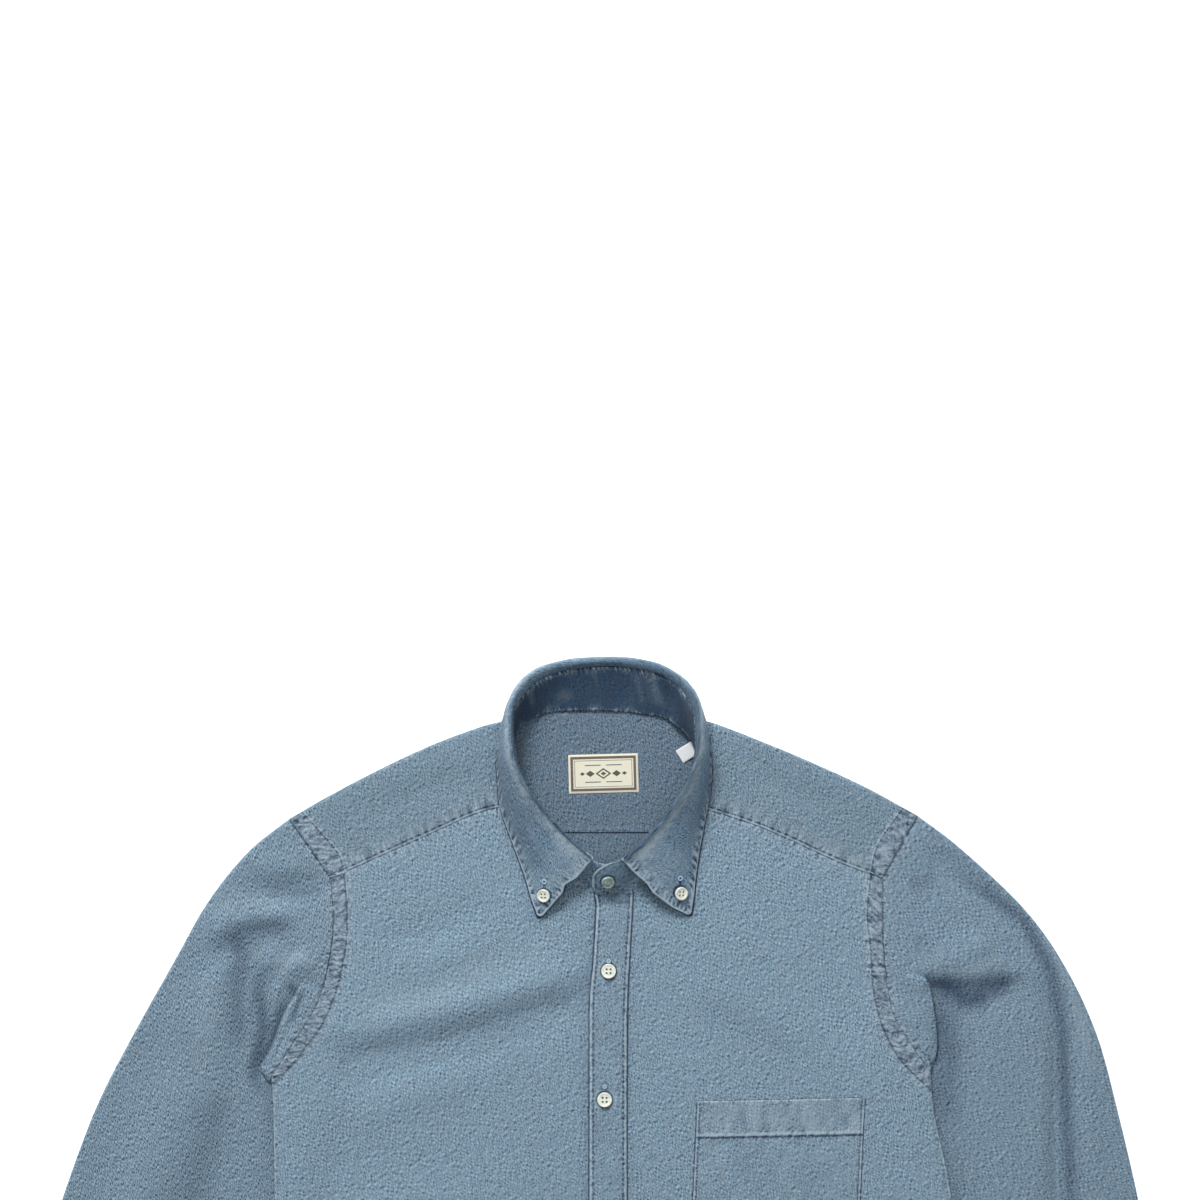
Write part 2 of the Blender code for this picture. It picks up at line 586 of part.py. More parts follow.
def cuff(collection, side, name, material):
    """A barrel cuff: a strip wrapped round the wrist, one end lapped over the other on the upper side."""
    inner, outer, across, down = cuff_frame(side)
    width = np.linalg.norm(outer - inner)
    flat_steps, roll_steps, rows = 5, 4, 2
    under_end, over_end = CUFF_LAP[1], CUFF_LAP[0]
    low_top = CUFF_TOP - CUFF_WALL - SEAM_GAP
    path = [(s, low_top) for s in np.linspace(over_end, 1 - 3 / width, flat_steps + 1)]
    roll = [(1 - 3 / width + 3 / width * math.sin(a), low_top * (1 + math.cos(a)) / 2)
            for a in np.linspace(0, math.pi, roll_steps + 1)[1:]]
    back = [(s, 0.0) for s in np.linspace(1 - 3 / width, 3 / width, 7)[1:]]
    roll_in = [(3 / width - 3 / width * math.sin(a), CUFF_TOP * (1 - math.cos(a)) / 2)
               for a in np.linspace(0, math.pi, roll_steps + 1)[1:]]
    over = [(s, CUFF_TOP) for s in np.linspace(3 / width, under_end, 4)[1:]]
    section = path + roll + back + roll_in + over

    def place(i, j):
        s, z = section[i]
        t = j / rows if side == "left" else 1 - j / rows
        x, y = inner + s * (outer - inner) + t * CUFF_LENGTH * down
        return x, y, z

    return cloth(collection, name, len(section) - 1, rows, place, CUFF_WALL, material, grow=1.0)


# ---------------------------------------------------------------- placket and pocket
def placket(collection, material):
    """The band with the buttonholes, sewn on the left front and lying over both fronts."""
    left, right = smooth_points(PLACKET_LEFT, 20), smooth_points(PLACKET_RIGHT, 20)
    columns, rows = 3, 20

    def place(i, j):
        x, y = left[rows - j] + i / columns * (right[rows - j] - left[rows - j])
        return x, y, upper_top(x, y) + PLACKET_PROUD

    return cloth(collection, "placket", columns, rows, place, WALL, material)


def pocket_point(s, t):
    """Plan of the pocket: s across, t down; its bottom is a shallow point."""
    corner, end = np.array(POCKET_TOP_LEFT), np.array(POCKET_TOP_RIGHT)
    down = np.array([math.sin(POCKET_LEAN), -math.cos(POCKET_LEAN)])
    depth = POCKET_SIDE + POCKET_POINT * (1 - abs(2 * s - 1))
    return corner + s * (end - corner) + t * depth * down


def pocket(collection, material):
    """Patch pocket on the left front, open at the top."""
    columns, rows = 8, 7

    def place(i, j):
        x, y = pocket_point(i / columns, 1 - j / rows)
        return x, y, upper_top(x, y) + WALL + SEAM_GAP + POCKET_EASE

    return cloth(collection, "pocket", columns, rows, place, WALL, material)


# ---------------------------------------------------------------- collar
def lies_on(x, y):
    """Top of the cloth under the collar: the upper layer outside the neck, the yoke inside it."""
    return upper_top(x, y)


def stand_stations():
    """Foot and top of the stand, from its under end at the front, round the neck, to its over end."""
    rows = np.array(STAND, float)
    right = rows * (1, 1, 1, 1, 1)
    right[2:, 0] *= -1
    right[2:, 2] *= -1
    left = rows[:0:-1].copy()
    stations = []
    for fx, fy, tx, ty, tz in joined(right, left):
        back = ease((fy + 52) / 8)
        high = lies_on(fx, fy) + SEAM_GAP + 0.9
        low = WALL + SEAM_GAP + 1.0
        stations.append([fx, fy, high + back * (low - high), tx, ty, tz])
    for index, raised in enumerate(OVER_END_RAISED):     # the over end lies on the under end
        stations[-1 - index][2] += raised
        stations[-1 - index][5] += raised
    foot_z = stations[-1][2]
    for fx, fy, tx, ty, tz in OVER_END:
        stations.append([fx, fy, foot_z + 0.45 * (fy + 176.5), tx, ty, tz])
    return np.array(stations)


def stand_surface(steps):
    """The stand's stations, resampled evenly: foot and top points."""
    feet_and_tops = smooth_points(stand_stations(), steps)
    return feet_and_tops[:, :3], feet_and_tops[:, 3:]


def collar_stand(collection, material):
    """The band that stands round the neck, from the under end to the buttoned over end."""
    columns, rows = 46, 3
    feet, tops = stand_surface(columns)

    def place(i, j):
        share = j / rows
        point = feet[columns - i] + share * (tops[columns - i] - feet[columns - i])
        return tuple(point)

    return cloth(collection, "collar_stand", columns, rows, place, STAND_WALL, material, grow=0.0)


def leaf_stations():
    """Sections of the leaf from one leading edge to the other: start, ridge, fall, middle, low, edge."""
    tops = np.array(STAND, float)[2:]
    stations = []
    for side, sign in (("right", -1), ("left", 1)):
        rows = np.array(LEAF[side], float)
        along = np.gradient(rows[:, :2], axis=0)
        shares = shares_of(rows[:, :3])
        run = []
        for index, (rx, ry, rz, ex, ey, over) in enumerate(LEAF[side]):
            top = at_shares(tops[:, 2:] * (sign, 1, 1), [shares[index]])[0]
            if side == "left":
                top[2] += np.interp(top[0], [row[2] for row in STAND[2:6]], OVER_END_RAISED[1:] + (0,))
            ridge = np.array([rx, ry, rz])
            rest = 0.0 if index >= ON_TABLE_FROM else lies_on(ex, ey)
            edge = np.array([ex, ey, rest + over])
            start = top + LEAF_START[index] * (ridge - top) / np.linalg.norm(ridge - top)
            away = np.array([sign * along[index][1], -sign * along[index][0], 0.0])
            away /= np.linalg.norm(away)
            under = LEAF_UNDER[index]
            fall = ridge + 2.6 * away - (0, 0, 3.0)
            middle = ridge + 0.45 * (edge - ridge) + 2.5 * away
            low = ridge + 0.76 * (edge - ridge) + 1.5 * away
            middle += under * (ridge + 2.6 * away - (0, 0, 0.55 * rz) - middle)
            low += under * (ridge - 2.5 * away - (0, 0, rz - 1.6) - low)
            run.append(np.concatenate([start, ridge, fall, middle, low, edge]))
        stations.append(np.array(run))
    return joined(stations[0], stations[1][::-1])


def leaf_sections(columns, rows):
    """The leaf's middle surface, as sections from the stand's top to the free edge."""
    return [smooth_points(row.reshape(6, 3), rows) for row in smooth_points(leaf_stations(), columns)]


def collar_leaf(collection, material):
    """The turned-down leaf with its two button-down points."""
    columns, rows = 42, 8
    sections = leaf_sections(columns, rows)

    def place(i, j):
        return tuple(sections[columns - i][j])

    return cloth(collection, "collar_leaf", columns, rows, place, LEAF_WALL, material, grow=0.0)


# ---------------------------------------------------------------- label and size tab
def neck_label(collection, material):
    """Woven label on the inside of the yoke."""
    turn = math.radians(1.5)
    along = np.array([math.cos(turn), math.sin(turn)])
    up = np.array([-math.sin(turn), math.cos(turn)])
    centre = np.array([-2.0, -88.5])

    def place(i, j):
        x, y = centre + (i / 4 - 0.5) * LABEL_WIDTH * along + (j / 2 - 0.5) * LABEL_HEIGHT * up
        return x, y, WALL + SEAM_GAP + LABEL_WALL

    return cloth(collection, "neck_label", 4, 2, place, LABEL_WALL, material)


def size_tab(collection, material):
    """Small folded tab that comes out of the neck seam and lies on the yoke."""
    turn = math.radians(212)
    away = np.array([math.cos(turn), math.sin(turn)])
    across = np.array([-away[1], away[0]])
    root = np.array([64.0, -68.5])

    def place(i, j):
        s = j / 4
        x, y = root + s * TAB_LENGTH * away + (0.5 - i / 2) * TAB_WIDTH * across
        return x, y, WALL + SEAM_GAP + 1.0 + 1.8 * (1 - s) ** 2

    return cloth(collection, "size_tab", 2, 4, place, 1.0, material)


# ---------------------------------------------------------------- buttons
def button(collection, name, centre, normal, radius, material):
    """A turned shirt button: a dished face inside a raised rim. centre is the middle of its underside."""
    height = BUTTON_HEIGHT
    profile = [
        (0.0, height * 0.62), (radius * 0.55, height * 0.62), (radius * 0.74, height * 0.98),
        (radius * 0.90, height), (radius, height * 0.72), (radius * 0.94, height * 0.22),
        (radius * 0.70, 0.0), (0.0, 0.0),
    ]
    shape = bmesh.new()
    verts = [shape.verts.new((x * MM, 0, z * MM)) for x, z in profile]
    for a, b in zip(verts, verts[1:]):
        shape.edges.new((a, b))
    piece = add_to(collection, name, shape, material)
    screw = piece.modifiers.new("turn", "SCREW")
    screw.steps = screw.render_steps = 16
    screw.use_merge_vertices = True
    screw.merge_threshold = 0.00005
    turn = Vector((0, 0, 1)).rotation_difference(Vector(normal)).to_matrix().to_4x4()
    piece.matrix_world = Matrix.Translation(Vector(centre) * MM) @ turn
    return piece


def leaf_at(x, y):
    """Point and upward normal of the leaf's middle surface over this plan point."""
    sections = leaf_sections(84, 16)
    grid = np.array(sections)
    away = np.hypot(grid[:, 8:, 0] - x, grid[:, 8:, 1] - y)
    i, j = np.unravel_index(np.argmin(away), away.shape)
    i, j = min(max(i, 1), len(grid) - 2), min(j + 8, 15)
    normal = np.cross(grid[i + 1, j] - grid[i - 1, j], grid[i, j + 1] - grid[i, j - 1])
    normal /= np.linalg.norm(normal)
    return grid[i, j], normal if normal[2] > 0 else -normal


def buttons(collection, material):
    """Buttons of the placket, the stand, the collar points and the cuffs."""
    left, right = smooth_points(PLACKET_LEFT, 60), smooth_points(PLACKET_RIGHT, 60)
    middle = (left + right) / 2
    for count in range(BUTTON_COUNT):
        y = -238.5 - count * BUTTON_SPACING
        x = float(np.interp(-y, -middle[:, 1], middle[:, 0])) - (1.5 if count else 0)
        z = upper_top(x, y) + PLACKET_PROUD + 2 * SEAM_GAP
        button(collection, f"button_front_{count + 1}", (x, y, z), (0, 0, 1), BUTTON_RADIUS, material)
    feet, tops = stand_surface(120)
    near = min(range(90, 120), key=lambda k: abs(feet[k][0] - 1.0))
    face = tops[near] - feet[near]
    normal = np.cross(feet[near] - feet[near - 2], face)
    normal /= np.linalg.norm(normal) * (1 if normal[2] > 0 else -1)
    spot = feet[near] + 0.42 * face + normal * (STAND_WALL / 2 + SEAM_GAP)
    button(collection, "button_collar_stand", spot, normal, SMALL_BUTTON_RADIUS, material)
    for name, x, y in (("right", -48.0, -180.5), ("left", 56.0, -178.0)):
        point, normal = leaf_at(x, y)
        spot = point + normal * (LEAF_WALL / 2 + 2 * SEAM_GAP)
        button(collection, f"button_collar_point_{name}", spot, normal, SMALL_BUTTON_RADIUS, material)
    for side in ("right", "left"):
        inner, outer, across, down = cuff_frame(side)
        x, y = inner + 0.43 * (outer - inner) + 0.5 * CUFF_LENGTH * down
        button(collection, f"button_cuff_{side}", (x, y, CUFF_TOP + SEAM_GAP), (0, 0, 1),
               SMALL_BUTTON_RADIUS, material)


# ---------------------------------------------------------------- the shirt
def settle(pieces):
    """Moves the whole shirt so that the origin is the middle of its footprint, on the table."""
    bpy.context.view_layer.update()
    graph = bpy.context.evaluated_depsgraph_get()
    corners = []
    for piece in pieces:
        solid = piece.evaluated_get(graph)
        mesh = solid.to_mesh()
        corners += [piece.matrix_world @ v.co for v in mesh.vertices]
        solid.to_mesh_clear()
    low = Vector(map(min, zip(*corners)))
    high = Vector(map(max, zip(*corners)))
    shift = Vector((-(low.x + high.x) / 2, -(low.y + high.y) / 2, -low.z))
    for piece in pieces:
        piece.matrix_world = Matrix.Translation(shift) @ piece.matrix_world


def main():
    for old in list(bpy.data.objects):
        bpy.data.objects.remove(old)
    shirt = bpy.data.collections.new("chambray_shirt")
    bpy.context.scene.collection.children.link(shirt)
    chambray = finish("chambray", (0.478, 0.569, 0.640), 0.9)
    woven_label = finish("woven_label", (0.86, 0.84, 0.77), 0.8)
    white_tape = finish("white_tape", (0.86, 0.87, 0.87), 0.8)
    shell = finish("button_shell", (0.85, 0.86, 0.80), 0.35)
    back_panel(shirt, chambray)
    front_panel(shirt, "right", "front_right", chambray)
    front_panel(shirt, "left", "front_left", chambray)
    yoke(shirt, chambray)
    for side in ("right", "left"):
        sleeve(shirt, side, f"sleeve_{side}", chambray)
        cuff(shirt, side, f"cuff_{side}", chambray)
    placket(shirt, chambray)
    pocket(shirt, chambray)
    collar_stand(shirt, chambray)
    collar_leaf(shirt, chambray)
    neck_label(shirt, woven_label)
    size_tab(shirt, white_tape)
    buttons(shirt, shell)
    settle(list(shirt.objects))


main()
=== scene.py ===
"""Looks of the laid chambray shirt: cloth with its folds and faded seams, painted shade and painted
highlights, sewing, buttons and labels.

The cut is written in millimetres on the plan of the laid garment: x runs towards the wearer's left
sleeve, y towards the collar, z up from the table, with y = 0 at the top of the collar. "right" and
"left" are the wearer's. Each sheet of cloth is a grid of points on its outer face.
"""

import math

import bpy
import numpy as np
from mathutils import Matrix, Vector


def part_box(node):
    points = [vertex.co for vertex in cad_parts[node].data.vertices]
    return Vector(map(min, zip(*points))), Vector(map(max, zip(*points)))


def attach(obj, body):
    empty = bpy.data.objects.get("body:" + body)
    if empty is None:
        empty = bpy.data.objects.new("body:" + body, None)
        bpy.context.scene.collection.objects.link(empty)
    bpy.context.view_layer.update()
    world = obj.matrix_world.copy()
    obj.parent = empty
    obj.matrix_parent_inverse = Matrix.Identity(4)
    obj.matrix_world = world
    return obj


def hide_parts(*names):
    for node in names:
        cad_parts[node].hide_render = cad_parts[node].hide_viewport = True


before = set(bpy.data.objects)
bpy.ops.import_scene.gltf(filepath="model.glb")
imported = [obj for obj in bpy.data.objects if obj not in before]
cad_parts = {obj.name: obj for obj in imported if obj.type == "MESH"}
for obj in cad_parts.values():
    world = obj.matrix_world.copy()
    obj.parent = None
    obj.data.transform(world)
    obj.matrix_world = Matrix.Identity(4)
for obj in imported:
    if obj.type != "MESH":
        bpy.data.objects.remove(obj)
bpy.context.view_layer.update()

MM = 0.001
LABEL_CENTRE = (-2.0, -88.5)


def plan_origin():
    """Where the plan's origin is in the frame, in mm. The neck label's centre is known in both."""
    low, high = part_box("neck_label")
    return np.array([(low.x + high.x) / 2 / MM - LABEL_CENTRE[0],
                     (low.y + high.y) / 2 / MM - LABEL_CENTRE[1], 0.0])


ORIGIN = plan_origin()

# ---------------------------------------------------------------- sizes shared with the frame, in mm
PANEL = 1.2                # the frame's panel wall
SEAM_GAP = 0.3
LOFT = 0.8                 # air between the two layers of the body
EDGE_ROLL = 2.4
TUCK_LIFT = 3.8
TUCK_RAMP = 30.0
BACK_YOKE_SEAM_Y = -132.0
YOKE_LAP = 1.0             # the yoke lies this far over the back, inside
HEM_SIDE_Y = -709.0
FRONT_HEM_Y = -754.0
BACK_HEM_Y = -768.0
BUTTON_SPACING = 97.5
BUTTON_RADIUS = 5.6
SMALL_BUTTON_RADIUS = 5.0
CUFF_LENGTH = 65.0
CUFF_LAP = 0.30, 0.52
CUFF_TOP = 5.2
LABEL_WIDTH, LABEL_HEIGHT = 53.0, 29.5
TAB_WIDTH, TAB_LENGTH = 11.0, 14.0

# ---------------------------------------------------------------- sizes of the looks, in mm
CLOTH = 0.7                # one layer of chambray, a little thick so that its edges show
COLLAR_CLOTH = 1.2         # two layers and interlining
STEP = 2.6                 # spacing of the points in the middle of a panel
FINE = 1.1                 # and beside its seams
BAND_STEP = 0.85
STITCH_PITCH, STITCH_LENGTH, STITCH_RADIUS = 2.5, 1.8, 0.17
HEM_STITCH_IN = 6.5        # lines of stitches, from the edge beside them
CUFF_STITCH_IN = 5.0
PLACKET_STITCH_IN = 2.8
POCKET_STITCH_IN = 1.9
LEAF_STITCH_IN = 5.0
PLACKET_WIDTH = 28.4
CORNER_RADII = 4.6, 3.6    # of the leaf's points, right and left
SILK_RADIUS = 0.55         # of the stitches round a buttonhole
FRONT_HOLE, POINT_HOLE = (18.5, 1.2), (15.0, 1.5)      # buttonholes: length, radius of an end
BUTTON_HEIGHT = 2.2
UP = (0.0, 0.0, 1.0)
SIDES = "right", "left"
MATERIALS = {}             # filled by main

# ---------------------------------------------------------------- outlines, columns x, y
SHOULDER = {
    "right": [(-240, -122.5), (-211.5, -106), (-172.5, -85.5), (-133, -67), (-94, -52.5), (-72, -47.5)],
    "left": [(236, -120), (194.5, -97.5), (142.5, -74), (90, -53), (72, -47.5)],
}
FRONT_YOKE_SEAM = {
    "right": [(-209, -167.5), (-172.5, -151), (-132, -133), (-96.5, -117.5), (-61, -109.5)],
    "left": [(210, -167.5), (177.5, -155.5), (129, -133.5), (103, -123.5), (61, -110.5)],
}
FRONT_ARMHOLE = {
    "right": [(-209, -167.5), (-207, -196.5), (-208.5, -219.5), (-218, -260.5), (-237.5, -293.5),
              (-254, -318.5)],
    "left": [(210, -167.5), (210, -195.5), (210.5, -220), (217, -268), (236, -301), (246, -314)],
}
BACK_ARMHOLE = {
    "right": [(-231, -132), (-211, -178), (-205, -212), (-211, -250), (-223, -280), (-237, -301),
              (-254, -318.5)],
    "left": [(229, -132), (212, -178), (206.5, -212), (210.5, -245), (219, -278), (233, -302.5),
             (246, -314)],
}
SIDE_SEAM = {
    "right": [(-254, -318.5), (-252.5, -339.5), (-251, -411.5), (-248.5, -488.5), (-251, -602.5),
              (-257, HEM_SIDE_Y)],
    "left": [(246, -314), (249, -347), (262, -412.5), (267, -488.5), (263.5, -602.5), (266, HEM_SIDE_Y)],
}
SLEEVE_OUTER = {
    "right": [(-240, -122.5), (-270.5, -146.5), (-301.5, -184.5), (-327, -229.5), (-359.5, -287.5),
              (-387, -341.5), (-413, -411.5), (-430, -470), (-446, -530), (-459, -590), (-468, -642)],
    "left": [(236, -120), (269, -145), (318.5, -192), (349.5, -236.5), (372.5, -286), (387.5, -340.5),
             (404, -411.5), (414, -470), (423, -530), (430, -590), (434, -640)],
}
SLEEVE_INNER = {
    "right": [(-217, -302), (-219, -325), (-225, -352), (-231, -378), (-238, -408), (-248, -445),
              (-264, -480), (-281, -512), (-302, -564), (-326, -620), (-348, -663)],
    "left": [(209, -298), (211, -322), (218, -350), (226, -378), (234, -408), (242, -440),
             (253, -475), (262, -500), (278, -549), (296, -605), (312, -650)],
}
NECK_EDGE = [(-72, -47.5), (-66, -44.5), (-56, -40.5), (-42, -38.8), (-22, -38.5), (0, -38.5)]
FRONT_NECK = [(-61, -109.5), (-57.5, -116), (-49.5, -132), (-39.4, -147.5), (-26.3, -161.5), (-12.8, -170.5),
              (0, -174.4), (12.8, -173.5)]
CENTRE_SPLIT = [(12.8, -173.5), (10, -230), (9, -336), (9, FRONT_HEM_Y)]
PLACKET_LEFT = [(-8.5, -180.3), (-7.2, -190), (-9.5, -230.5), (-12.2, -262), (-12.5, -336.5),
                (-12.5, FRONT_HEM_Y + 1)]
PLACKET_RIGHT = [(20.4, -178.8), (19.9, -190), (17.7, -230.5), (16.2, -262), (15.7, -336.5),
                 (16.0, FRONT_HEM_Y + 1)]
POCKET_TOP_LEFT, POCKET_TOP_RIGHT = (69.5, -337.0), (196.0, -334.5)
POCKET_SIDE, POCKET_POINT, POCKET_HEM = 128.0, 14.0, 28.0
POCKET_LEAN = math.radians(-2.6)
SLEEVE_FAN = [(0, -84), (0.07, -70), (0.15, -32), (0.24, -12), (0.35, -6), (0.50, -6), (0.80, -25), (1, -38)]
SLEEVE_FAN_END = 0.35
SLEEVE_RUN = 400.0
SLEEVE_GRAIN = {"right": -20.0, "left": 18.0}     # how far the cloth is turned, in degrees
HEM_DROP = [(0, 0), (0.10, 0.12), (0.25, 0.50), (0.45, 0.80), (0.70, 0.95), (1, 1)]

# The frame's soft folds: start x, y, end x, y, half-width, height
FOLDS = [
    (-290, -230, -338, -400, 40, 1.9),
    (-338, -400, -400, -620, 42, 1.7),
    (296, -215, 322, -400, 36, 1.7),
    (326, -400, 368, -620, 42, 1.7),
    (-276, -204, -258, -296, 11, -1.5),
    (-236, -225, -247, -292, 11, 1.3),
    (248, -242, 316, -240, 12, 1.7),
    (262, -262, 300, -264, 11, -1.3),
    (300, -190, 341, -262, 10, -1.4),
    (341, -262, 345, -412, 10, -1.6),
    (-212, -318, -150, -280, 16, -0.6),
    (-190, -345, -120, -300, 20, 0.8),
    (205, -330, 150, -285, 18, 0.7),
    (-40, -240, -28, -300, 14, 0.6),
    (-150, -430, -110, -640, 30, 0.9),
    (120, -520, 150, -690, 30, 0.9),
    (-200, -100, -110, -78, 16, 0.9),
    (110, -80, 200, -106, 16, 0.9),
]
# Finer creases, seen in the cloth: route, half-width, height. They fade at their ends.
CREASES = [
    ([(-202, -169), (-225, -175), (-250, -180), (-284, -188)], 11, -2.4),   # right sleeve head
    ([(-312, -211), (-280, -201), (-257, -196), (-224, -198)], 11, 2.6),
    ([(-308, -232), (-285, -220), (-268, -212), (-242, -205)], 11, -2.8),
    ([(-268, -208), (-277, -236), (-279, -264), (-278, -326), (-290, -390)], 12, -2.6),
    ([(-232, -211), (-243, -233), (-254, -243), (-263, -258), (-264, -280), (-259, -296)], 6, -2.6),
    ([(-267, -238), (-271, -262), (-271, -292), (-273, -326)], 6, 1.6),
    ([(-254, -240), (-234, -232), (-213, -229)], 8, 2.0),
    ([(-296, -234), (-302, -262), (-304, -310)], 11, 1.6),
    ([(-284, -152), (-254, -158), (-218, -160)], 10, 1.6),
    ([(-300, -180), (-330, -230), (-366, -300), (-392, -360)], 12, 1.3),
    ([(-286, -330), (-300, -390), (-326, -480)], 18, -2.6),
    ([(-318, -300), (-338, -380), (-372, -470)], 20, 2.4),
    ([(-372, -350), (-392, -430), (-420, -540)], 14, -1.6),
    ([(-330, -500), (-352, -570), (-384, -650)], 13, -1.8),
    ([(234, -245), (252, -237), (275, -224), (300, -207)], 11, 3.2),   # left sleeve head
    ([(242, -250), (262, -253), (275, -257), (292, -251), (318, -243)], 10, -5.2),
    ([(236, -172), (248, -168), (257, -154), (261, -143)], 8, -1.6),
    ([(240, -144), (258, -157), (281, -174.7), (294.5, -183), (309, -194), (320.6, -207), (327, -220),
      (336, -238), (342, -256)],
     6.5, -4.4),
    ([(327, -220), (335, -236.6), (343, -264), (346, -289), (346.5, -330), (343, -350), (344, -413),
      (352, -520)],
     7, -3.2),
    ([(286, -164), (322, -198), (349, -246), (362, -300), (370, -360), (378, -440)], 7, 1.8),
    ([(316, -236), (328, -270), (330, -330), (328, -400)], 11, 1.6),
    ([(262, -280), (268, -340), (286, -440)], 13, -2.0),
    ([(290, -276), (300, -350), (318, -450)], 13, 1.6),
    ([(300, -520), (330, -570), (352, -640)], 13, -1.6),
    ([(-206, -290), (-150, -274), (-104, -263), (-60, -249), (-2, -230)], 12, 3.2),   # right front
    ([(-222, -322), (-170, -310), (-115, -298), (-60, -279), (-2, -262)], 12, -3.2),
    ([(-170, -236), (-124, -231), (-76, -200)], 11, 1.1),
    ([(-180, -214), (-130, -208), (-86, -178)], 12, -1.2),
    ([(-90, -318), (-150, -338), (-200, -358)], 13, 1.3),
    ([(-60, -400), (-150, -420), (-225, -400)], 16, 1.2),
    ([(-30, -520), (-110, -560), (-215, -540)], 18, -1.2),
    ([(26, -250), (70, -285), (110, -350)], 14, -1.0),   # left front
    ([(66, -226), (104, -262), (150, -318)], 15, 1.0),
    ([(206, -300), (170, -262), (150, -204)], 12, -0.9),
    ([(40, -500), (120, -560), (230, -540)], 18, 1.2),
    ([(-190, -128), (-130, -98), (-84, -86)], 10, -1.0),   # yoke
    ([(190, -124), (150, -104), (92, -84)], 11, -1.1),
    ([(96, -70), (120, -84), (136, -100)], 9, -1.0),
]
# Painted shade (below 0) and painted highlight strokes along the folds: route, half-width, amount
PAINTED_FOLD_STROKES = [
    ([(-30, -248), (-65, -271), (-91, -278), (-122, -284), (-138, -288), (-169, -295), (-205, -294),
      (-225, -290)], 9, -0.42),
    ([(-30, -222), (-90, -236), (-150, -262), (-210, -268)], 12, 0.22),
    ([(-8, -236), (-26, -254), (-52, -262)], 7, -0.4),
    ([(-262, -178), (-254, -176), (-231, -177), (-212, -171)], 6, -0.45),   # right sleeve
    ([(-300, -192), (-270, -186), (-240, -188)], 7, 0.25),
    ([(-290, -220), (-278, -213), (-265, -207), (-247, -202), (-236, -200)], 8, -0.75),
    ([(-284, -206), (-278, -224), (-278, -241), (-279, -270), (-276, -300)], 9, -0.75),
    ([(-262, -228), (-260.6, -238), (-264, -256), (-259.8, -278), (-263.7, -295), (-268, -311),
      (-265, -336)], 5, -0.85),
    ([(-262, -240), (-271, -255), (-270, -290), (-273, -320)], 4, 0.25),
    ([(-252, -238), (-243, -229), (-231, -228), (-218, -236)], 5, 0.45),
    ([(-241, -246), (-238.6, -251), (-233, -258)], 2.6, -1.0),
    ([(-231, -249), (-232.6, -261), (-240, -279)], 2.4, -0.9),
    ([(-243, -258), (-247.5, -270), (-250, -282), (-257, -298), (-264, -312)], 3.2, -0.8),
    ([(-298, -236), (-304, -270), (-306, -320)], 8, 0.22),
    ([(-290, -320), (-304, -380), (-330, -470)], 14, -0.4),
    ([(236, -246), (246, -247.5), (262, -248.5), (280, -249), (300, -246), (322, -240)], 4.5, -0.85),
    ([(248, -250), (262, -254), (276, -258), (292, -254), (312, -245)], 7.5, -1.05),   # left sleeve
    ([(262, -262), (276, -264), (292, -260)], 8, -0.5),
    ([(240, -240), (254, -241), (270, -239), (288, -232), (304, -224)], 4.0, 0.5),
    ([(253, -255), (256, -270), (259.8, -291), (263, -303), (259.8, -324), (262, -360)], 9, -0.5),
    ([(246, -146), (266, -160.5), (286, -177), (302.7, -187), (316, -197), (324, -212), (332.5, -228.6),
      (339, -242), (343, -258),
      (345.7, -275), (347.4, -299.5), (348, -324), (350, -352), (352, -400), (356, -460)], 5.5, -1.05),
    ([(284, -156), (304, -174), (324, -197), (336, -215), (346, -233.6), (357, -255), (364, -290),
      (368, -330)], 5, 0.5),
    ([(228, -171), (240, -171), (252, -166)], 6, -0.45),
    ([(232, -217), (238, -215.4), (246, -212)], 5, -0.35),
    ([(300, -500), (328, -570), (350, -640)], 12, -0.35),
    ([(60, -262), (100, -274), (150, -300)], 10, -0.2),   # left front
]
# The cloth that folds over itself at each armpit: the fold's edge, from the sleeve head down to the side
ARMPIT_FOLD = {
    "right": [(-228, -234), (-232.6, -250.8), (-243.2, -269.8), (-253.1, -294.9), (-261, -310),
              (-256, -321.5)],
    "left": [(238, -240), (243.5, -246.4), (246.5, -256.6), (248.7, -271.5), (250.5, -291.3),
             (249.6, -302.9), (246.5, -311)],
}
FOLD_BEGINS = {"right": 0.30,
               "left": 0.08}     # share of the fold's edge over which it rises out of the sleeve
NOTCH = [(238, -299), (243.8, -301.7), (246.3, -308.4)]     # a small tuck in the left fold
# The inner line of stitches of each felled armhole seam, on the fronts and on the yoke
FELL_FRONT = {
    "right": [(-197.3, -164), (-194.9, -196), (-196.1, -219.6), (-199.9, -240.9), (-205.6, -260.3),
              (-214.3, -279.7),
              (-224.2, -293.4), (-237.9, -310.8), (-251, -323.5)],
    "left": [(199.6, -163.4), (196.8, -195.3), (199.1, -220.4), (201.4, -253.1), (206, -274.4),
             (214.3, -294.1),
             (225.7, -310.8), (246.3, -330)],
}
FELL_YOKE = {
    "right": [(-197.3, -163), (-202.2, -148.2), (-218.1, -129.2), (-229.6, -116.6)],
    "left": [(199.6, -162.8), (205.2, -141.4), (224, -113.6)],
}
# How far stations of STAND lie from their row on each side, by index: foot_x, foot_y, top_x
STAND_SHIFT = {
    "right": {9: (0, -3.0, 0), 10: (0, -5.0, 0.4), 11: (0, -4.0, 0), 12: (0, -1.0, 0)},
    "left": {7: (-1, -1, -1.0), 8: (-1, -2, -1.8), 9: (-3.8, -7.5, -3.0), 10: (-5, -9.5, -3.0),
             11: (-4, -9, -2.6), 12: (0, -5, -1.4), 13: (0, -2, 0)},
}
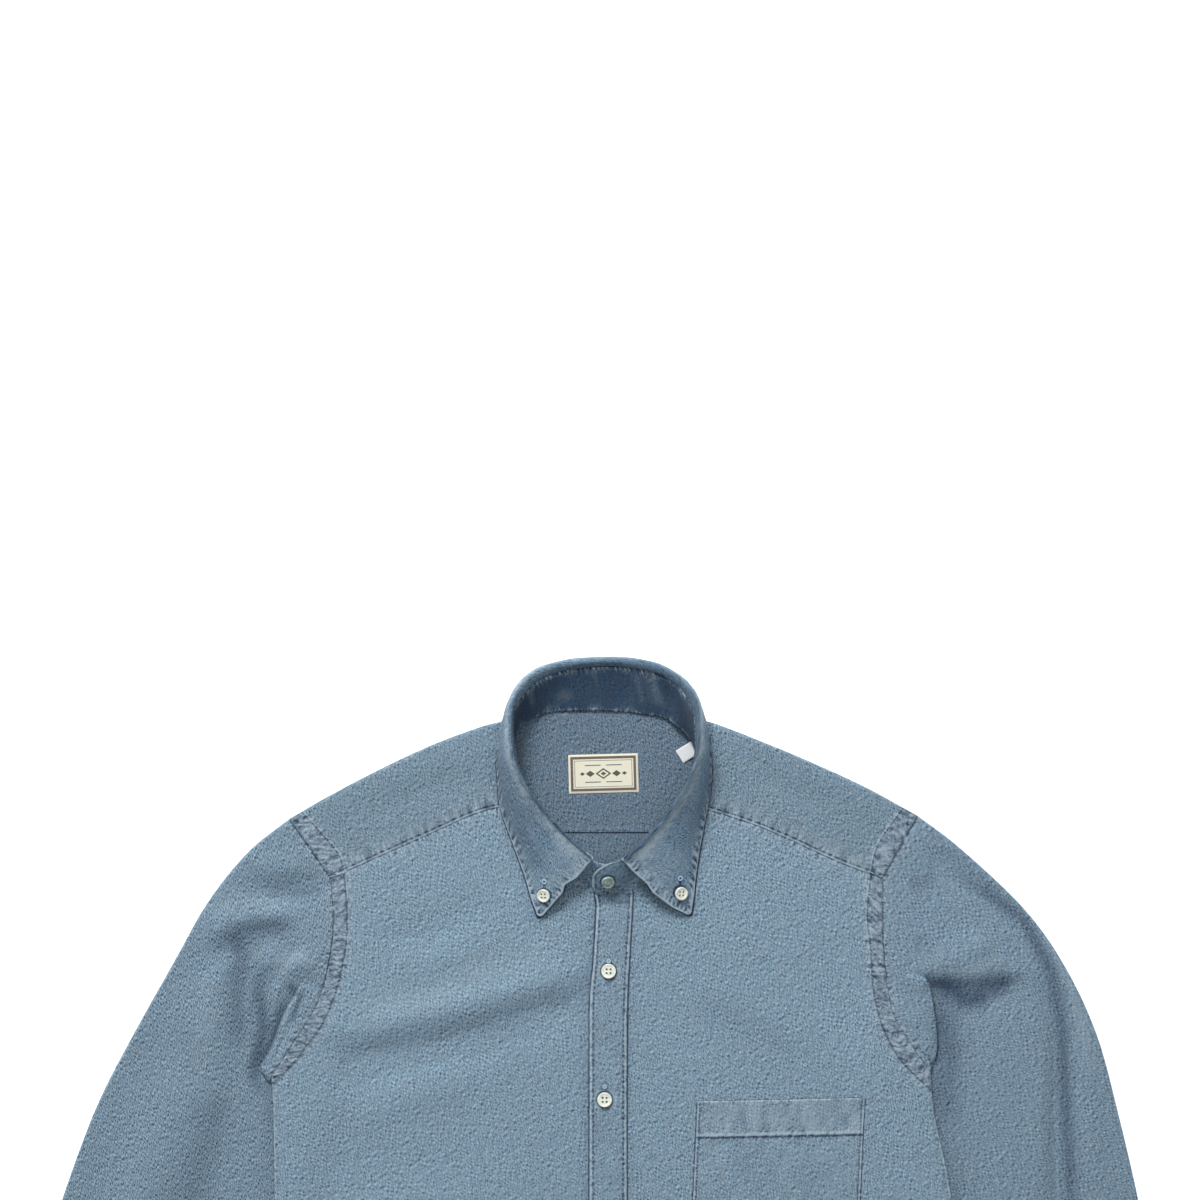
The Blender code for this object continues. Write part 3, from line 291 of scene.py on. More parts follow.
# The leaf's leading edges: share of the way from fold to point, mm beyond a straight edge, towards LEAD_WAY
LEAD_BULGE = {
    "right": [(0, 0), (0.3, 0.8), (0.46, -2.4), (0.55, 0.6), (0.93, 1.1), (1, 0)],
    "left": [(0, 0), (0.17, 1.5), (0.36, 2.0), (0.47, 4.6), (0.76, 4.4), (0.96, 1.6), (1, 0)],
}
LEAD_WAY = {"right": (0.746, -0.666), "left": (-0.633, -0.773)}

# Collar, half stations from centre front to centre back: foot_x, foot_y, top_x, top_y, top_z
STAND = [
    (13.5, -174.5, 13.5, -156.0, 14.0),
    (0.0, -176.5, 0.0, -156.5, 14.6),
    (13.5, -172.5, 11.5, -152.0, 16.0),
    (27.5, -163.5, 25.0, -140.0, 17.8),
    (41.0, -149.0, 37.0, -127.0, 20.0),
    (51.5, -133.0, 49.0, -112.0, 23.0),
    (60.0, -115.0, 59.0, -97.0, 26.0),
    (66.0, -95.0, 66.0, -82.0, 28.5),
    (69.0, -76.0, 69.0, -68.0, 29.5),
    (69.8, -59.5, 70.0, -55.0, 29.5),
    (66.0, -49.5, 69.0, -41.0, 27.5),
    (58.0, -44.0, 62.0, -28.0, 23.0),
    (44.0, -41.5, 50.0, -17.0, 18.0),
    (23.0, -41.0, 28.0, -9.5, 14.0),
    (0.0, -41.0, 0.0, -7.0, 12.5),
]
# The buttoned end lies over the other: how far its last stations are raised, and the stations that it adds
OVER_END_RAISED = (3.2, 3.2, 1.8, 0.4)
OVER_END = [
    (-7.0, -177.6, -6.5, -160.5, 16.6),
    (-10.6, -174.5, -10.4, -165.5, 13.6),
]
# Leaf: ridge_x, ridge_y, ridge_z, edge_x, edge_y, edge_over
LEAF = {
    "right": [
        (-10.0, -152.0, 21.5, -51.5, -198.5, 1.3),
        (-22.0, -141.5, 23.5, -56.0, -186.0, 1.3),
        (-34.0, -130.0, 25.0, -61.5, -167.0, 1.5),
        (-45.5, -117.0, 28.0, -68.3, -148.0, 1.8),
        (-55.5, -104.0, 31.0, -74.8, -130.5, 2.0),
        (-64.0, -90.5, 33.5, -80.3, -113.0, 2.2),
        (-69.6, -76.0, 35.0, -82.0, -94.5, 2.4),
        (-71.6, -61.5, 35.0, -82.6, -77.0, 2.6),
        (-71.8, -47.0, 33.5, -80.4, -61.5, 3.0),
        (-70.5, -33.5, 30.5, -78.5, -48.0, 3.8),
        (-64.0, -20.5, 26.5, -72.0, -39.0, 3.2),
        (-51.0, -10.5, 21.5, -59.5, -35.0, 1.2),
        (-31.0, -5.0, 18.5, -32.5, -34.0, 0.9),
        (0.0, -2.5, 17.0, 0.0, -34.0, 0.9),
    ],
    "left": [
        (12.5, -153.0, 24.5, 65.0, -196.0, 1.3),
        (23.5, -144.5, 25.3, 66.5, -186.5, 1.3),
        (34.0, -134.0, 26.2, 68.0, -168.0, 1.5),
        (44.0, -121.0, 28.0, 70.5, -149.5, 1.8),
        (53.0, -108.0, 31.0, 73.5, -132.0, 2.0),
        (60.8, -94.0, 33.5, 77.0, -113.0, 2.2),
        (66.0, -80.5, 35.0, 79.3, -97.5, 2.4),
        (68.8, -66.0, 35.0, 79.8, -82.0, 2.6),
        (69.2, -50.0, 33.5, 78.2, -66.0, 3.0),
        (68.0, -35.5, 30.5, 76.0, -50.0, 3.8),
        (62.2, -22.5, 26.5, 70.0, -39.0, 3.2),
        (47.8, -11.5, 21.5, 58.5, -35.0, 1.2),
        (30.0, -5.0, 18.5, 32.5, -34.0, 0.9),
        (0.0, -2.5, 17.0, 0.0, -34.0, 0.9),
    ],
}
ON_TABLE_FROM = 10          # from this station on the leaf's edge lies on the table, behind the neck
LEAF_START = 0.5           # the leaf's seam, above the stand's top edge
FOLD_AT = 8.0              # the leaf's fold, from that seam
POINT_BUTTONS = {"right": (-46.8, -180.5), "left": (56.0, -178.0)}
POINT_HOLE_SHIFT = 5.0      # the buttonhole's middle, above the button's
FRONT_HOLE_SHIFTS = (0.1, 2.2, 1.0, 1.6, 0.6)     # the same, from the top button down
# how steeply the leaf falls from its fold at each station: 0 spread out, 1 straight down behind the neck
LEAF_UNDER = (0, 0, 0, 0, 0, 0, 0, 0, 0, 0.15, 0.5, 0.9, 1, 1)


# ---------------------------------------------------------------- curves and grids
def ease(x):
    """0 below 0, 1 above 1, smooth between."""
    x = np.clip(x, 0.0, 1.0)
    return x * x * (3 - 2 * x)


def bell(value, width):
    """1 where the value is 0, fading on both sides over about this width."""
    return np.exp(-((value / width) ** 2))


def lengths_along(points, columns=3):
    """Distance from the first point to each point of a polyline, in its first columns: x, y and z, or
    all."""
    steps = np.linalg.norm(np.diff(points[:, :columns], axis=0), axis=1)
    return np.concatenate([[0.0], np.cumsum(steps)])


def between(wanted, along, points):
    """The polyline's points at the wanted lengths, every column interpolated."""
    return np.stack([np.interp(wanted, along, column) for column in points.T], axis=1)


def at_lengths(points, lengths):
    points = np.asarray(points, float)
    return between(lengths, lengths_along(points), points)


def at_shares(points, shares):
    points = np.asarray(points, float)
    return at_lengths(points, np.asarray(shares) * lengths_along(points)[-1])


def smooth_points(points, steps):
    """Points at equal distances along the smooth curve through these, ends included."""
    p = np.array(points, float)
    ends = np.vstack([2 * p[0] - p[1], p, 2 * p[-1] - p[-2]])
    u = np.linspace(0, 1, 16, endpoint=False)[:, None]
    fine = []
    for a, b, c, d in zip(ends, ends[1:], ends[2:], ends[3:]):
        fine.append(0.5 * (2 * b + (c - a) * u + (2 * a - 5 * b + 4 * c - d) * u**2
                           + (3 * b - a - 3 * c + d) * u**3))
    fine.append(p[-1:])
    fine = np.vstack(fine)
    along = lengths_along(fine, None)
    return between(np.linspace(0, along[-1], steps + 1), along, fine)


def joined(*runs):
    """Several runs of points, each starting where the last one ends, as one."""
    return np.vstack([runs[0], *[run[1:] for run in runs[1:]]])


def sideways(points, towards):
    """Unit vectors square to a plan polyline, to the side where the point towards lies."""
    run = np.gradient(points, axis=0)
    side = np.stack([-run[:, 1], run[:, 0]], axis=1)
    side /= np.linalg.norm(side, axis=1)[:, None]
    middle = len(points) // 2
    return side if np.dot(side[middle], np.array(towards) - points[middle]) > 0 else -side


def graded(length, fine=FINE, coarse=STEP, reach=3.0):
    """Shares of a length whose steps grow from fine at both ends to coarse in the middle."""
    half, step, at = [0.0], fine, 0.0
    while at < length / 2:
        step = fine if at < reach else min(coarse, step * 1.25)
        at += step
        half.append(at)
    half = np.array(half) * (length / 2) / half[-1]
    return np.concatenate([half, length - half[-2::-1]]) / length


def coons(top, bottom, left, right):
    """Grid of the Coons patch: top and bottom run with the first index, left and right with the second."""
    def shares(line):
        return lengths_along(line) / lengths_along(line)[-1]

    s = ((shares(top) + shares(bottom)) / 2)[:, None, None]
    t = ((shares(left) + shares(right)) / 2)[None, :, None]
    across = (1 - t) * top[:, None] + t * bottom[:, None]
    down = (1 - s) * left[None] + s * right[None]
    corners = ((1 - s) * (1 - t) * top[0] + s * (1 - t) * top[-1] + (1 - s) * t * bottom[0]
               + s * t * bottom[-1])
    return across + down - corners


def near_line(x, y, line):
    """For each plan point: its distance to the polyline, the side it lies on, and the length along the
    line."""
    best = np.full(np.shape(x), 1e9)
    along = np.zeros(np.shape(x))
    side = np.zeros(np.shape(x))
    start = 0.0
    for (ax, ay), (bx, by) in zip(line, line[1:]):
        rx, ry = bx - ax, by - ay
        length = math.hypot(rx, ry)
        share = np.clip(((x - ax) * rx + (y - ay) * ry) / length**2, 0, 1)
        dx, dy = x - ax - share * rx, y - ay - share * ry
        away = np.hypot(dx, dy)
        closer = away < best
        best = np.where(closer, away, best)
        along = np.where(closer, start + share * length, along)
        side = np.where(closer, np.sign(rx * dy - ry * dx), side)
        start += length
    return best, side, along


def signed_distance(x, y, line):
    away, which, _ = near_line(x, y, line)
    return away * np.where(which < 0, -1, 1)


# ---------------------------------------------------------------- irregularity, the same on each run
def lattice(ix, iy, seed):
    value = np.sin(ix * 127.1 + iy * 311.7 + seed * 74.7) * 43758.5453
    return value - np.floor(value)


def noise(x, y, seed=0.0):
    """Smooth irregular height from -1 to 1, about one bump to a unit."""
    ix, iy = np.floor(x), np.floor(y)
    fx, fy = ease(x - ix), ease(y - iy)
    near = lattice(ix, iy, seed) * (1 - fx) + lattice(ix + 1, iy, seed) * fx
    far = lattice(ix, iy + 1, seed) * (1 - fx) + lattice(ix + 1, iy + 1, seed) * fx
    return 2 * (near + fy * (far - near)) - 1


def pucker(along, away, seed=0.0):
    """Height from -1 to 1 of the small ridges that run square to a line of stitches."""
    phase = along / 4.1 + 1.1 * noise(along / 12, away / 9, seed) + 0.05 * away
    strength = np.clip(0.5 + 0.8 * noise(along / 7, away / 5, seed + 3), 0.05, 1.1)
    return 0.75 * strength * np.sin(2 * math.pi * phase) + 0.45 * noise(along / 2.1, away / 2.6, seed + 5)


def crinkle(along, away, seed):
    """Height from about -1 to 1 of the broken, slanting puckers of a felled seam."""
    return (0.35 * pucker(along + 0.5 * away, away, seed)
            + 0.75 * noise((along + 0.6 * away) / 1.9, away / 3.4, seed + 9)
            + 0.5 * noise((along - 0.9 * away) / 2.6, away / 3.0, seed + 11))


# ---------------------------------------------------------------- heights of the laid cloth
def inner_edge(side):
    line = smooth_points(SLEEVE_INNER[side], 40)
    order = np.argsort(line[:, 1])
    return line[order, 1], np.abs(line[order, 0])


INNER_EDGE = {side: inner_edge(side) for side in SLEEVE_INNER}


def body_lift(x, y):
    """How far the body is off the table: it rises over a sleeve tucked under its side."""
    lift = 0.0
    for side, here in (("right", x < 0), ("left", x >= 0)):
        top_y = SIDE_SEAM[side][0][1]
        clear = np.interp(y, *INNER_EDGE[side]) - np.abs(x)
        lift = lift + here * ease((top_y + 74 - y) / 44) * (1 - ease((clear - 3) / TUCK_RAMP))
    return TUCK_LIFT * lift


def folds(x, y):
    total = 0.0
    for x0, y0, x1, y1, width, height in FOLDS:
        away, _, _ = near_line(x, y, [(x0, y0), (x1, y1)])
        total = total + height * bell(away, width)
    for route, width, height in CREASES:
        line = smooth_points(route, 10)
        away, _, along = near_line(x, y, line)
        share = along / lengths_along(line)[-1]
        fade = ease(share / 0.25) * ease((1 - share) / 0.3)
        total = total + height * fade * bell(away, width)
    return total


def fold_light_and_shade(x, y):
    """Soft painted shade in the hollows and painted highlights on the ridges of the folds."""
    total = 0.0
    for route, width, amount in PAINTED_FOLD_STROKES:
        line = smooth_points(route, 8)
        away, _, along = near_line(x, y, line)
        share = along / lengths_along(line)[-1]
        total = total + amount * ease(share / 0.2) * ease((1 - share) / 0.2) * bell(away, width)
    return total


def shoulder_rise(x, y):
    """The upper layer stands higher along the shoulder fold and round the neck."""
    rise = 0.0
    for side, here in (("right", x < 0), ("left", x >= 0)):
        away, _, _ = near_line(x, y, SHOULDER[side])
        rise = rise + here * bell(away, 45)
    return 1.6 * rise


def ripple(x, y):
    """The cloth is never quite flat."""
    return (0.34 * noise(x / 30 + y / 90, y / 34, 1) + 0.16 * noise(x / 12, y / 15 - x / 40, 2)
            + 0.05 * noise(x / 5, y / 5, 3))


def cloth_top(x, y, lift=True):
    """Outer face of the upper layer: fronts, yoke front and the tops of the sleeves."""
    free = LOFT + folds(x, y) + shoulder_rise(x, y) + ripple(x, y)
    base = 2 * PANEL + SEAM_GAP + (body_lift(x, y) if lift else 0.0)
    return base + np.maximum(-0.4, free)


# ---------------------------------------------------------------- making cloth
def normals_of(grid):
    across = np.gradient(grid, axis=0)
    along = np.gradient(grid, axis=1)
    normal = np.cross(across, along)
    return normal / np.maximum(np.linalg.norm(normal, axis=2), 1e-9)[..., None]


def facing(grid, towards, at=None):
    """Normals of the grid, turned so that the one at the cell `at` points along `towards`."""
    normal = normals_of(grid)
    i, j = at or (grid.shape[0] // 2, grid.shape[1] // 2)
    return normal if np.dot(normal[i, j], towards) > 0 else -normal


class Finish:
    """How faded, greyed or deep the cloth is at each point of a grid, with its painted shade and painted
    highlights, and where its edges, stitching and painted shadow lines are."""

    def __init__(self, shape):
        self.wear_and_shading = np.zeros(shape)     # below 0 painted shade in creases, hollows and beside things lying on it; above 0 faded light or a painted highlight
        self.grey = np.zeros(shape)     # 1 where several layers are stitched and washed grey
        self.deep = np.zeros(shape)     # 1 where the cloth is a deeper blue: unworn indigo, and in places painted shade
        self.run = np.zeros(shape)      # length along the nearest stitched edge
        self.away = np.full(shape, 9.0)     # distance from it, 1 where its puckers end
        self.edge = np.full(shape, 99.0)    # mm from a turned edge, which is faded light
        self.groove = np.full(shape, 99.0)  # mm from a sunk line of stitches, with its sign
        self.under = np.full(shape, 99.0)   # mm from the edge of something lying on this cloth, where a painted shadow line is drawn

    def stitched(self, run, distance, reach):
        closer = distance / reach < self.away
        self.run = np.where(closer, run, self.run)
        self.away = np.where(closer, distance / reach, self.away)

    def edged(self, distance, groove=None):
        self.edge = np.minimum(self.edge, distance)
        if groove is not None:
            self.groove = self.edge - groove

    # Painted shadow: marks where the shader draws a dark line beside the edge of something lying on this
    # cloth.
    def covered(self, distance):
        self.under = np.where(np.abs(distance) < np.abs(self.under), distance, self.under)

    def attributes(self):
        return {"finish": np.stack([self.wear_and_shading, self.grey, self.deep], axis=-1),
                "lines": np.stack([self.edge, self.groove, self.under], axis=-1)}

    def seam(self):
        return np.stack([self.run, self.away], axis=-1)


def in_scene(name, data):
    piece = bpy.data.objects.new(name, data)
    bpy.context.scene.collection.objects.link(piece)
    return piece


def shell(name, grid, wall, normal, cloth_uv, finish, face, reverse, keep=None, tube=False, free_edge=None):
    """A closed sheet: grid is its outer face, and the wall grows against the normals.

    free_edge gives each point's distance from a turned edge, which is then rounded."""
    columns, rows = grid.shape[0] - 1, grid.shape[1] - 1
    wall = np.full(grid.shape[:2], float(wall))
    outer = grid.copy()
    if free_edge is not None:
        radius = 0.5 * wall
        inward = np.clip(1 - free_edge / radius, 0, 1)
        drop = radius * (1 - np.sqrt(1 - 0.96 * inward**2))
        outer -= normal * drop[..., None]
        wall -= 2 * drop
    inner = outer - normal * wall[..., None]
    wide = columns if tube else columns + 1
    points = np.concatenate([outer[:wide].reshape(-1, 3), inner[:wide].reshape(-1, 3)])
    i, j = np.meshgrid(np.arange(columns), np.arange(rows), indexing="ij")
    if keep is None:
        keep = np.ones((columns, rows), bool)
    i, j = i[keep], j[keep]
    after = (i + 1) % wide
    layer = wide * (rows + 1)
    quads = np.stack([i * (rows + 1) + j, after * (rows + 1) + j,
                      after * (rows + 1) + j + 1, i * (rows + 1) + j + 1], axis=1)
    k = len(i) // 2
    a, b, c = grid[i[k], j[k]], grid[i[k] + 1, j[k]], grid[i[k] + 1, j[k] + 1]
    if np.dot(np.cross(b - a, c - b), normal[i[k], j[k]]) < 0:
        quads = quads[:, ::-1]
    edges = np.concatenate([quads[:, [k, (k + 1) % 4]] for k in range(4)])
    ordered = np.sort(edges, axis=1)
    _, first, count = np.unique(ordered[:, 0] * (2 * layer) + ordered[:, 1], return_index=True,
                                return_counts=True)
    open_edges = edges[first[count == 1]]
    rims = np.concatenate([open_edges[:, ::-1], open_edges + layer], axis=1)
    faces = np.concatenate([quads, quads[:, ::-1] + layer, rims])
    used = np.unique(faces)
    renumber = np.zeros(2 * layer, int)
    renumber[used] = np.arange(len(used))
    mesh = bpy.data.meshes.new(name)
    mesh.from_pydata(((points[used] + ORIGIN) * MM).tolist(), [], renumber[faces].tolist())
    mesh.materials.append(MATERIALS[face])
    mesh.materials.append(MATERIALS[reverse])
    slots = np.zeros(len(faces), np.int32)
    slots[len(quads):2 * len(quads)] = 1
    mesh.polygons.foreach_set("material_index", slots)
    corner = np.zeros(len(mesh.loops), np.int32)
    mesh.loops.foreach_get("vertex_index", corner)
    for title, values in (("cloth", cloth_uv), ("seam", finish.seam())):
        uv = np.concatenate([values[:wide].reshape(-1, 2)] * 2)[used]
        mesh.uv_layers.new(name=title).data.foreach_set("uv", uv[corner].astype(np.float32).ravel())
    for title, values in finish.attributes().items():
        marks = np.concatenate([values[:wide].reshape(-1, 3)] * 2)[used]
        attribute = mesh.attributes.new(title, "FLOAT_VECTOR", "POINT")
        attribute.data.foreach_set("vector", marks.astype(np.float32).ravel())
    mesh.shade_smooth()
    mesh.set_sharp_from_angle(angle=math.radians(60))
    mesh.update()
    return in_scene(name, mesh)


def turned(uv, degrees):
    """Plan coordinates turned, so that the cloth's grain runs along a sleeve."""
    a = math.radians(degrees)
    return uv @ np.array([[math.cos(a), -math.sin(a)], [math.sin(a), math.cos(a)]])


class Sewing:
    """Runs of stitches, gathered here and made into one piece at the end of each part."""

    def __init__(self):
        self.runs = []

    def add(self, points, lift=0.1, normals=UP):
        points = np.asarray(points, float)
        normals = np.broadcast_to(np.asarray(normals, float), points.shape)
        self.runs.append((points + lift * normals, normals))

    def plan(self, line, height, lift=0.1):
        """A run over laid cloth: a plan line and the height of the cloth there."""
        fine = smooth_points(line, int(lengths_along(np.asarray(line, float))[-1] / 2) + 2)
        self.add(np.column_stack([fine, height(fine[:, 0], fine[:, 1])]), lift)

    def make(self, name, pitch=STITCH_PITCH, length=STITCH_LENGTH, radius=STITCH_RADIUS):
        points, faces = [], []
        for line, normals in self.runs:
            along = lengths_along(line)
            starts = np.arange(pitch / 2, along[-1] - length, pitch)
            both = np.column_stack([line, normals])
            rings = [between(starts + s * length, along, both) for s in (0.0, 0.18, 0.82, 1.0)]
            for first, near, far, last in zip(*rings):
                run = far[:3] - near[:3]
                run /= max(np.linalg.norm(run), 1e-9)
                up = near[3:] / np.linalg.norm(near[3:])
                side = np.cross(run, up)
                base = len(points)
                points.append(first[:3] - 0.1 * up)
                for ring in (near, far):
                    for way in (up, side, -up, -side):
                        points.append(ring[:3] + radius * way)
                points.append(last[:3] - 0.1 * up)
                for k in range(4):
                    n = (k + 1) % 4
                    faces.append((base, base + 1 + n, base + 1 + k))
                    faces.append((base + 1 + k, base + 1 + n, base + 5 + n, base + 5 + k))
                    faces.append((base + 9, base + 5 + k, base + 5 + n))
        mesh = bpy.data.meshes.new(name)
        mesh.from_pydata(((np.array(points) + ORIGIN) * MM).tolist(), [], faces)
        mesh.materials.append(MATERIALS["thread"])
        mesh.shade_smooth()
        return in_scene(name, mesh)


# ---------------------------------------------------------------- seams shared by neighbours
def seams(side):
    corner, point = np.array(FRONT_YOKE_SEAM[side][0], float), np.array(SHOULDER[side][0], float)
    back_corner = np.array(BACK_ARMHOLE[side][0], float)
    return {
        "yoke_seam": smooth_points(FRONT_YOKE_SEAM[side], 90),
        "arm_yoke": at_shares(np.array([corner, point]), np.linspace(0, 1, 25)),
        "arm_front": smooth_points(FRONT_ARMHOLE[side], 90),
        "arm_back_yoke": at_shares(np.array([back_corner, point]), np.linspace(0, 1, 9)),
        "arm_back": smooth_points(BACK_ARMHOLE[side], 90),
        "side": smooth_points(SIDE_SEAM[side], 160),
        "shoulder": smooth_points(SHOULDER[side], 90),
    }


def hem_line(side_point, centre_x, centre_y):
    shares = np.array(HEM_DROP, float)
    x = side_point[0] + shares[:, 0] * (centre_x - side_point[0])
    y = side_point[1] + shares[:, 1] * (centre_y - side_point[1])
    return smooth_points(np.stack([x, y], axis=1), 60)


def ditch(away, depth=0.6, width=1.7):
    """A seam sinks between the two pieces that it joins."""
    return depth * bell(away, width)


def side_edge(x, y, z, side):
    """Rolls the front's edge down onto the back along the side seam."""
    away, _, _ = near_line(x, y, SIDE_SEAM[side])
    below = ease((SIDE_SEAM[side][0][1] + 6 - y) / 14)
    blend = np.clip(1 - away / 4.5, 0, 1) ** 2 * below
    return z * (1 - blend) + (body_lift(x, y) + 2 * CLOTH + 0.1) * blend


# ---------------------------------------------------------------- body
def back():
    right, left = seams("right"), seams("left")
    across = graded(500, 2.0, 5.5)
    down = graded(640, 2.0, 5.5)
    edge_r = at_shares(joined(right["arm_back"], right["side"]), down)
    edge_l = at_shares(joined(left["arm_back"], left["side"]), down)
    top = at_shares(np.array([edge_r[0], edge_l[0]]), across)
    centre = (edge_r[-1][0] + edge_l[-1][0]) / 2
    hem = joined(hem_line(edge_r[-1], centre, BACK_HEM_Y), hem_line(edge_l[-1], centre, BACK_HEM_Y)[::-1])
    hem = at_shares(hem, across)
    plan = coons(top, hem, edge_r, edge_l)
    x, y = plan[..., 0], plan[..., 1]
    grid = np.dstack([x, y, body_lift(x, y)])
    finish = Finish(x.shape)
    to_hem, _, along_hem = near_line(x, y, hem[::4])
    finish.stitched(along_hem, to_hem, 9)
    finish.edged(to_hem, HEM_STITCH_IN)
    # Painted shadow line where the yoke laps over the back.
    finish.covered(y - BACK_YOKE_SEAM_Y + YOKE_LAP)
    return shell("back", grid, CLOTH, facing(grid, (0, 0, -1)), plan, finish,
                 "face", "reverse")


def front(side, sewing):
    lines = seams(side)
    outward = -1 if side == "right" else 1
    mirror = np.array([1.0 if side == "right" else -1.0, 1.0])
    neck = smooth_points(np.array(FRONT_NECK) * mirror, 60)
    split = smooth_points(CENTRE_SPLIT, 120)
    split[:, 0] += outward * SEAM_GAP / 2
    if side == "left":                   # this front stops at the split, short of centre front
        neck = np.vstack([at_shares(neck, np.linspace(0, 0.6, 40)), split[:1] + (0, 0.8)])
        split[0] = neck[-1]
    neck[-1] = split[0]
    across, down = graded(270), graded(590)
    top = at_shares(joined(lines["yoke_seam"], neck), across)
    edge = at_shares(joined(lines["arm_front"], lines["side"]), down)
    hem = at_shares(hem_line(edge[-1], split[-1][0], FRONT_HEM_Y), across)
    plan = coons(top, hem, edge, at_shares(split, down))
    x, y = plan[..., 0], plan[..., 1]
    z = cloth_top(x, y)
    to_yoke, _, along_yoke = near_line(x, y, lines["yoke_seam"][::5])
    to_arm, _, _ = near_line(x, y, lines["arm_front"][::5])
    to_fell, _, along_fell = near_line(x, y, smooth_points(FELL_FRONT[side], 40))
    to_hem, _, along_hem = near_line(x, y, hem[::4])
    to_side, _, along_side = near_line(x, y, lines["side"][::8])
    to_placket = signed_distance(x, y, PLACKET_LEFT if side == "right" else PLACKET_RIGHT)
    z -= ditch(to_arm) + ditch(to_yoke, 0.5, 1.3)
    z = side_edge(x, y, z, side)
    z += 0.25 * ease((8 - to_hem) / 1.5) - ditch(np.abs(to_hem - HEM_STITCH_IN), 0.2, 0.8) - ditch(to_fell,
                                                                                                   0.2, 1.5)
    finish = Finish(x.shape)
    finish.stitched(along_yoke, to_yoke, 8)
    finish.stitched(along_fell, to_fell, 4.5)
    finish.stitched(along_hem, to_hem, 9)
    finish.stitched(along_side, to_side, 5)
    finish.edged(to_hem, HEM_STITCH_IN)
    finish.edged(to_side + 9 * ease((y - SIDE_SEAM[side][0][1] + 12) / 12))
    # Painted shadow lines where the yoke, the placket, the leaf and the pocket lie on this front.
    finish.covered(to_yoke)
    finish.covered(to_placket)
    to_leaf = beyond_leaf(x, y, side)
    finish.covered(to_leaf)
    if side == "left":
        along, out = pocket_place(x, y)
        finish.covered(out)
        finish.stitched(along, np.abs(out), 3)
    # Faded light beside the yoke seam and the fell; painted shade beside the placket's and the leaf's edges;
    # painted fold shade and highlights.
    finish.wear_and_shading = (0.3 * np.exp(-to_yoke / 4) + 0.25 * bell(to_fell - 1.5, 2)
                   - (0.6 if side == "right" else 0.35) * np.exp(-np.abs(to_placket) / 3.5)
                   - 0.4 * np.exp(-np.abs(to_leaf) / 4) + fold_light_and_shade(x, y))
    grid = np.dstack([x, y, z])
    sewing.plan(pushed_in(hem, HEM_STITCH_IN, (0, -400)), cloth_top, 0.2)
    return shell(f"front_cloth_{side}", grid, CLOTH, facing(grid, (0, 0, 1)), plan, finish,
                 "face", "reverse")


def beyond_leaf(x, y, side):
    """How far each plan point is outside the leaf's free edges. Negative under the leaf."""
    rows = np.array(LEAF[side], float)[:ON_TABLE_FROM]
    shares, bulge = np.array(LEAD_BULGE[side]).T[..., None]
    lead = rows[0, :2] + shares * (rows[0, 3:5] - rows[0, :2]) + bulge * np.array(LEAD_WAY[side])
    within = np.array(POINT_BUTTONS[side])
    return np.maximum(*(-signed_distance(x, y, line) * np.sign(signed_distance(*within, line))
                        for line in (lead, smooth_points(rows[:, 3:5], 30))))


def pocket_place(x, y):
    """How far along the pocket's outline each plan point is, and how far out from it (inside is
    negative)."""
    corner = np.array(POCKET_TOP_LEFT)
    across = np.subtract(POCKET_TOP_RIGHT, corner)
    width = np.linalg.norm(across)
    turn = np.array([across / width, (math.sin(POCKET_LEAN), -math.cos(POCKET_LEAN))])
    place = np.stack([x - corner[0], y - corner[1]], axis=-1) @ np.linalg.inv(turn)
    s, t = place[..., 0], place[..., 1]
    bottom = POCKET_SIDE + POCKET_POINT * (1 - np.abs(2 * s / width - 1))
    out = np.maximum(np.maximum(-s, s - width), np.maximum(0.8 - t, t - bottom))
    return np.where(np.abs(np.abs(s - width / 2) - width / 2) < 4, t, s), out


def pushed_in(line, distance, towards):
    line = np.asarray(line, float)
    return line + distance * sideways(line, towards)


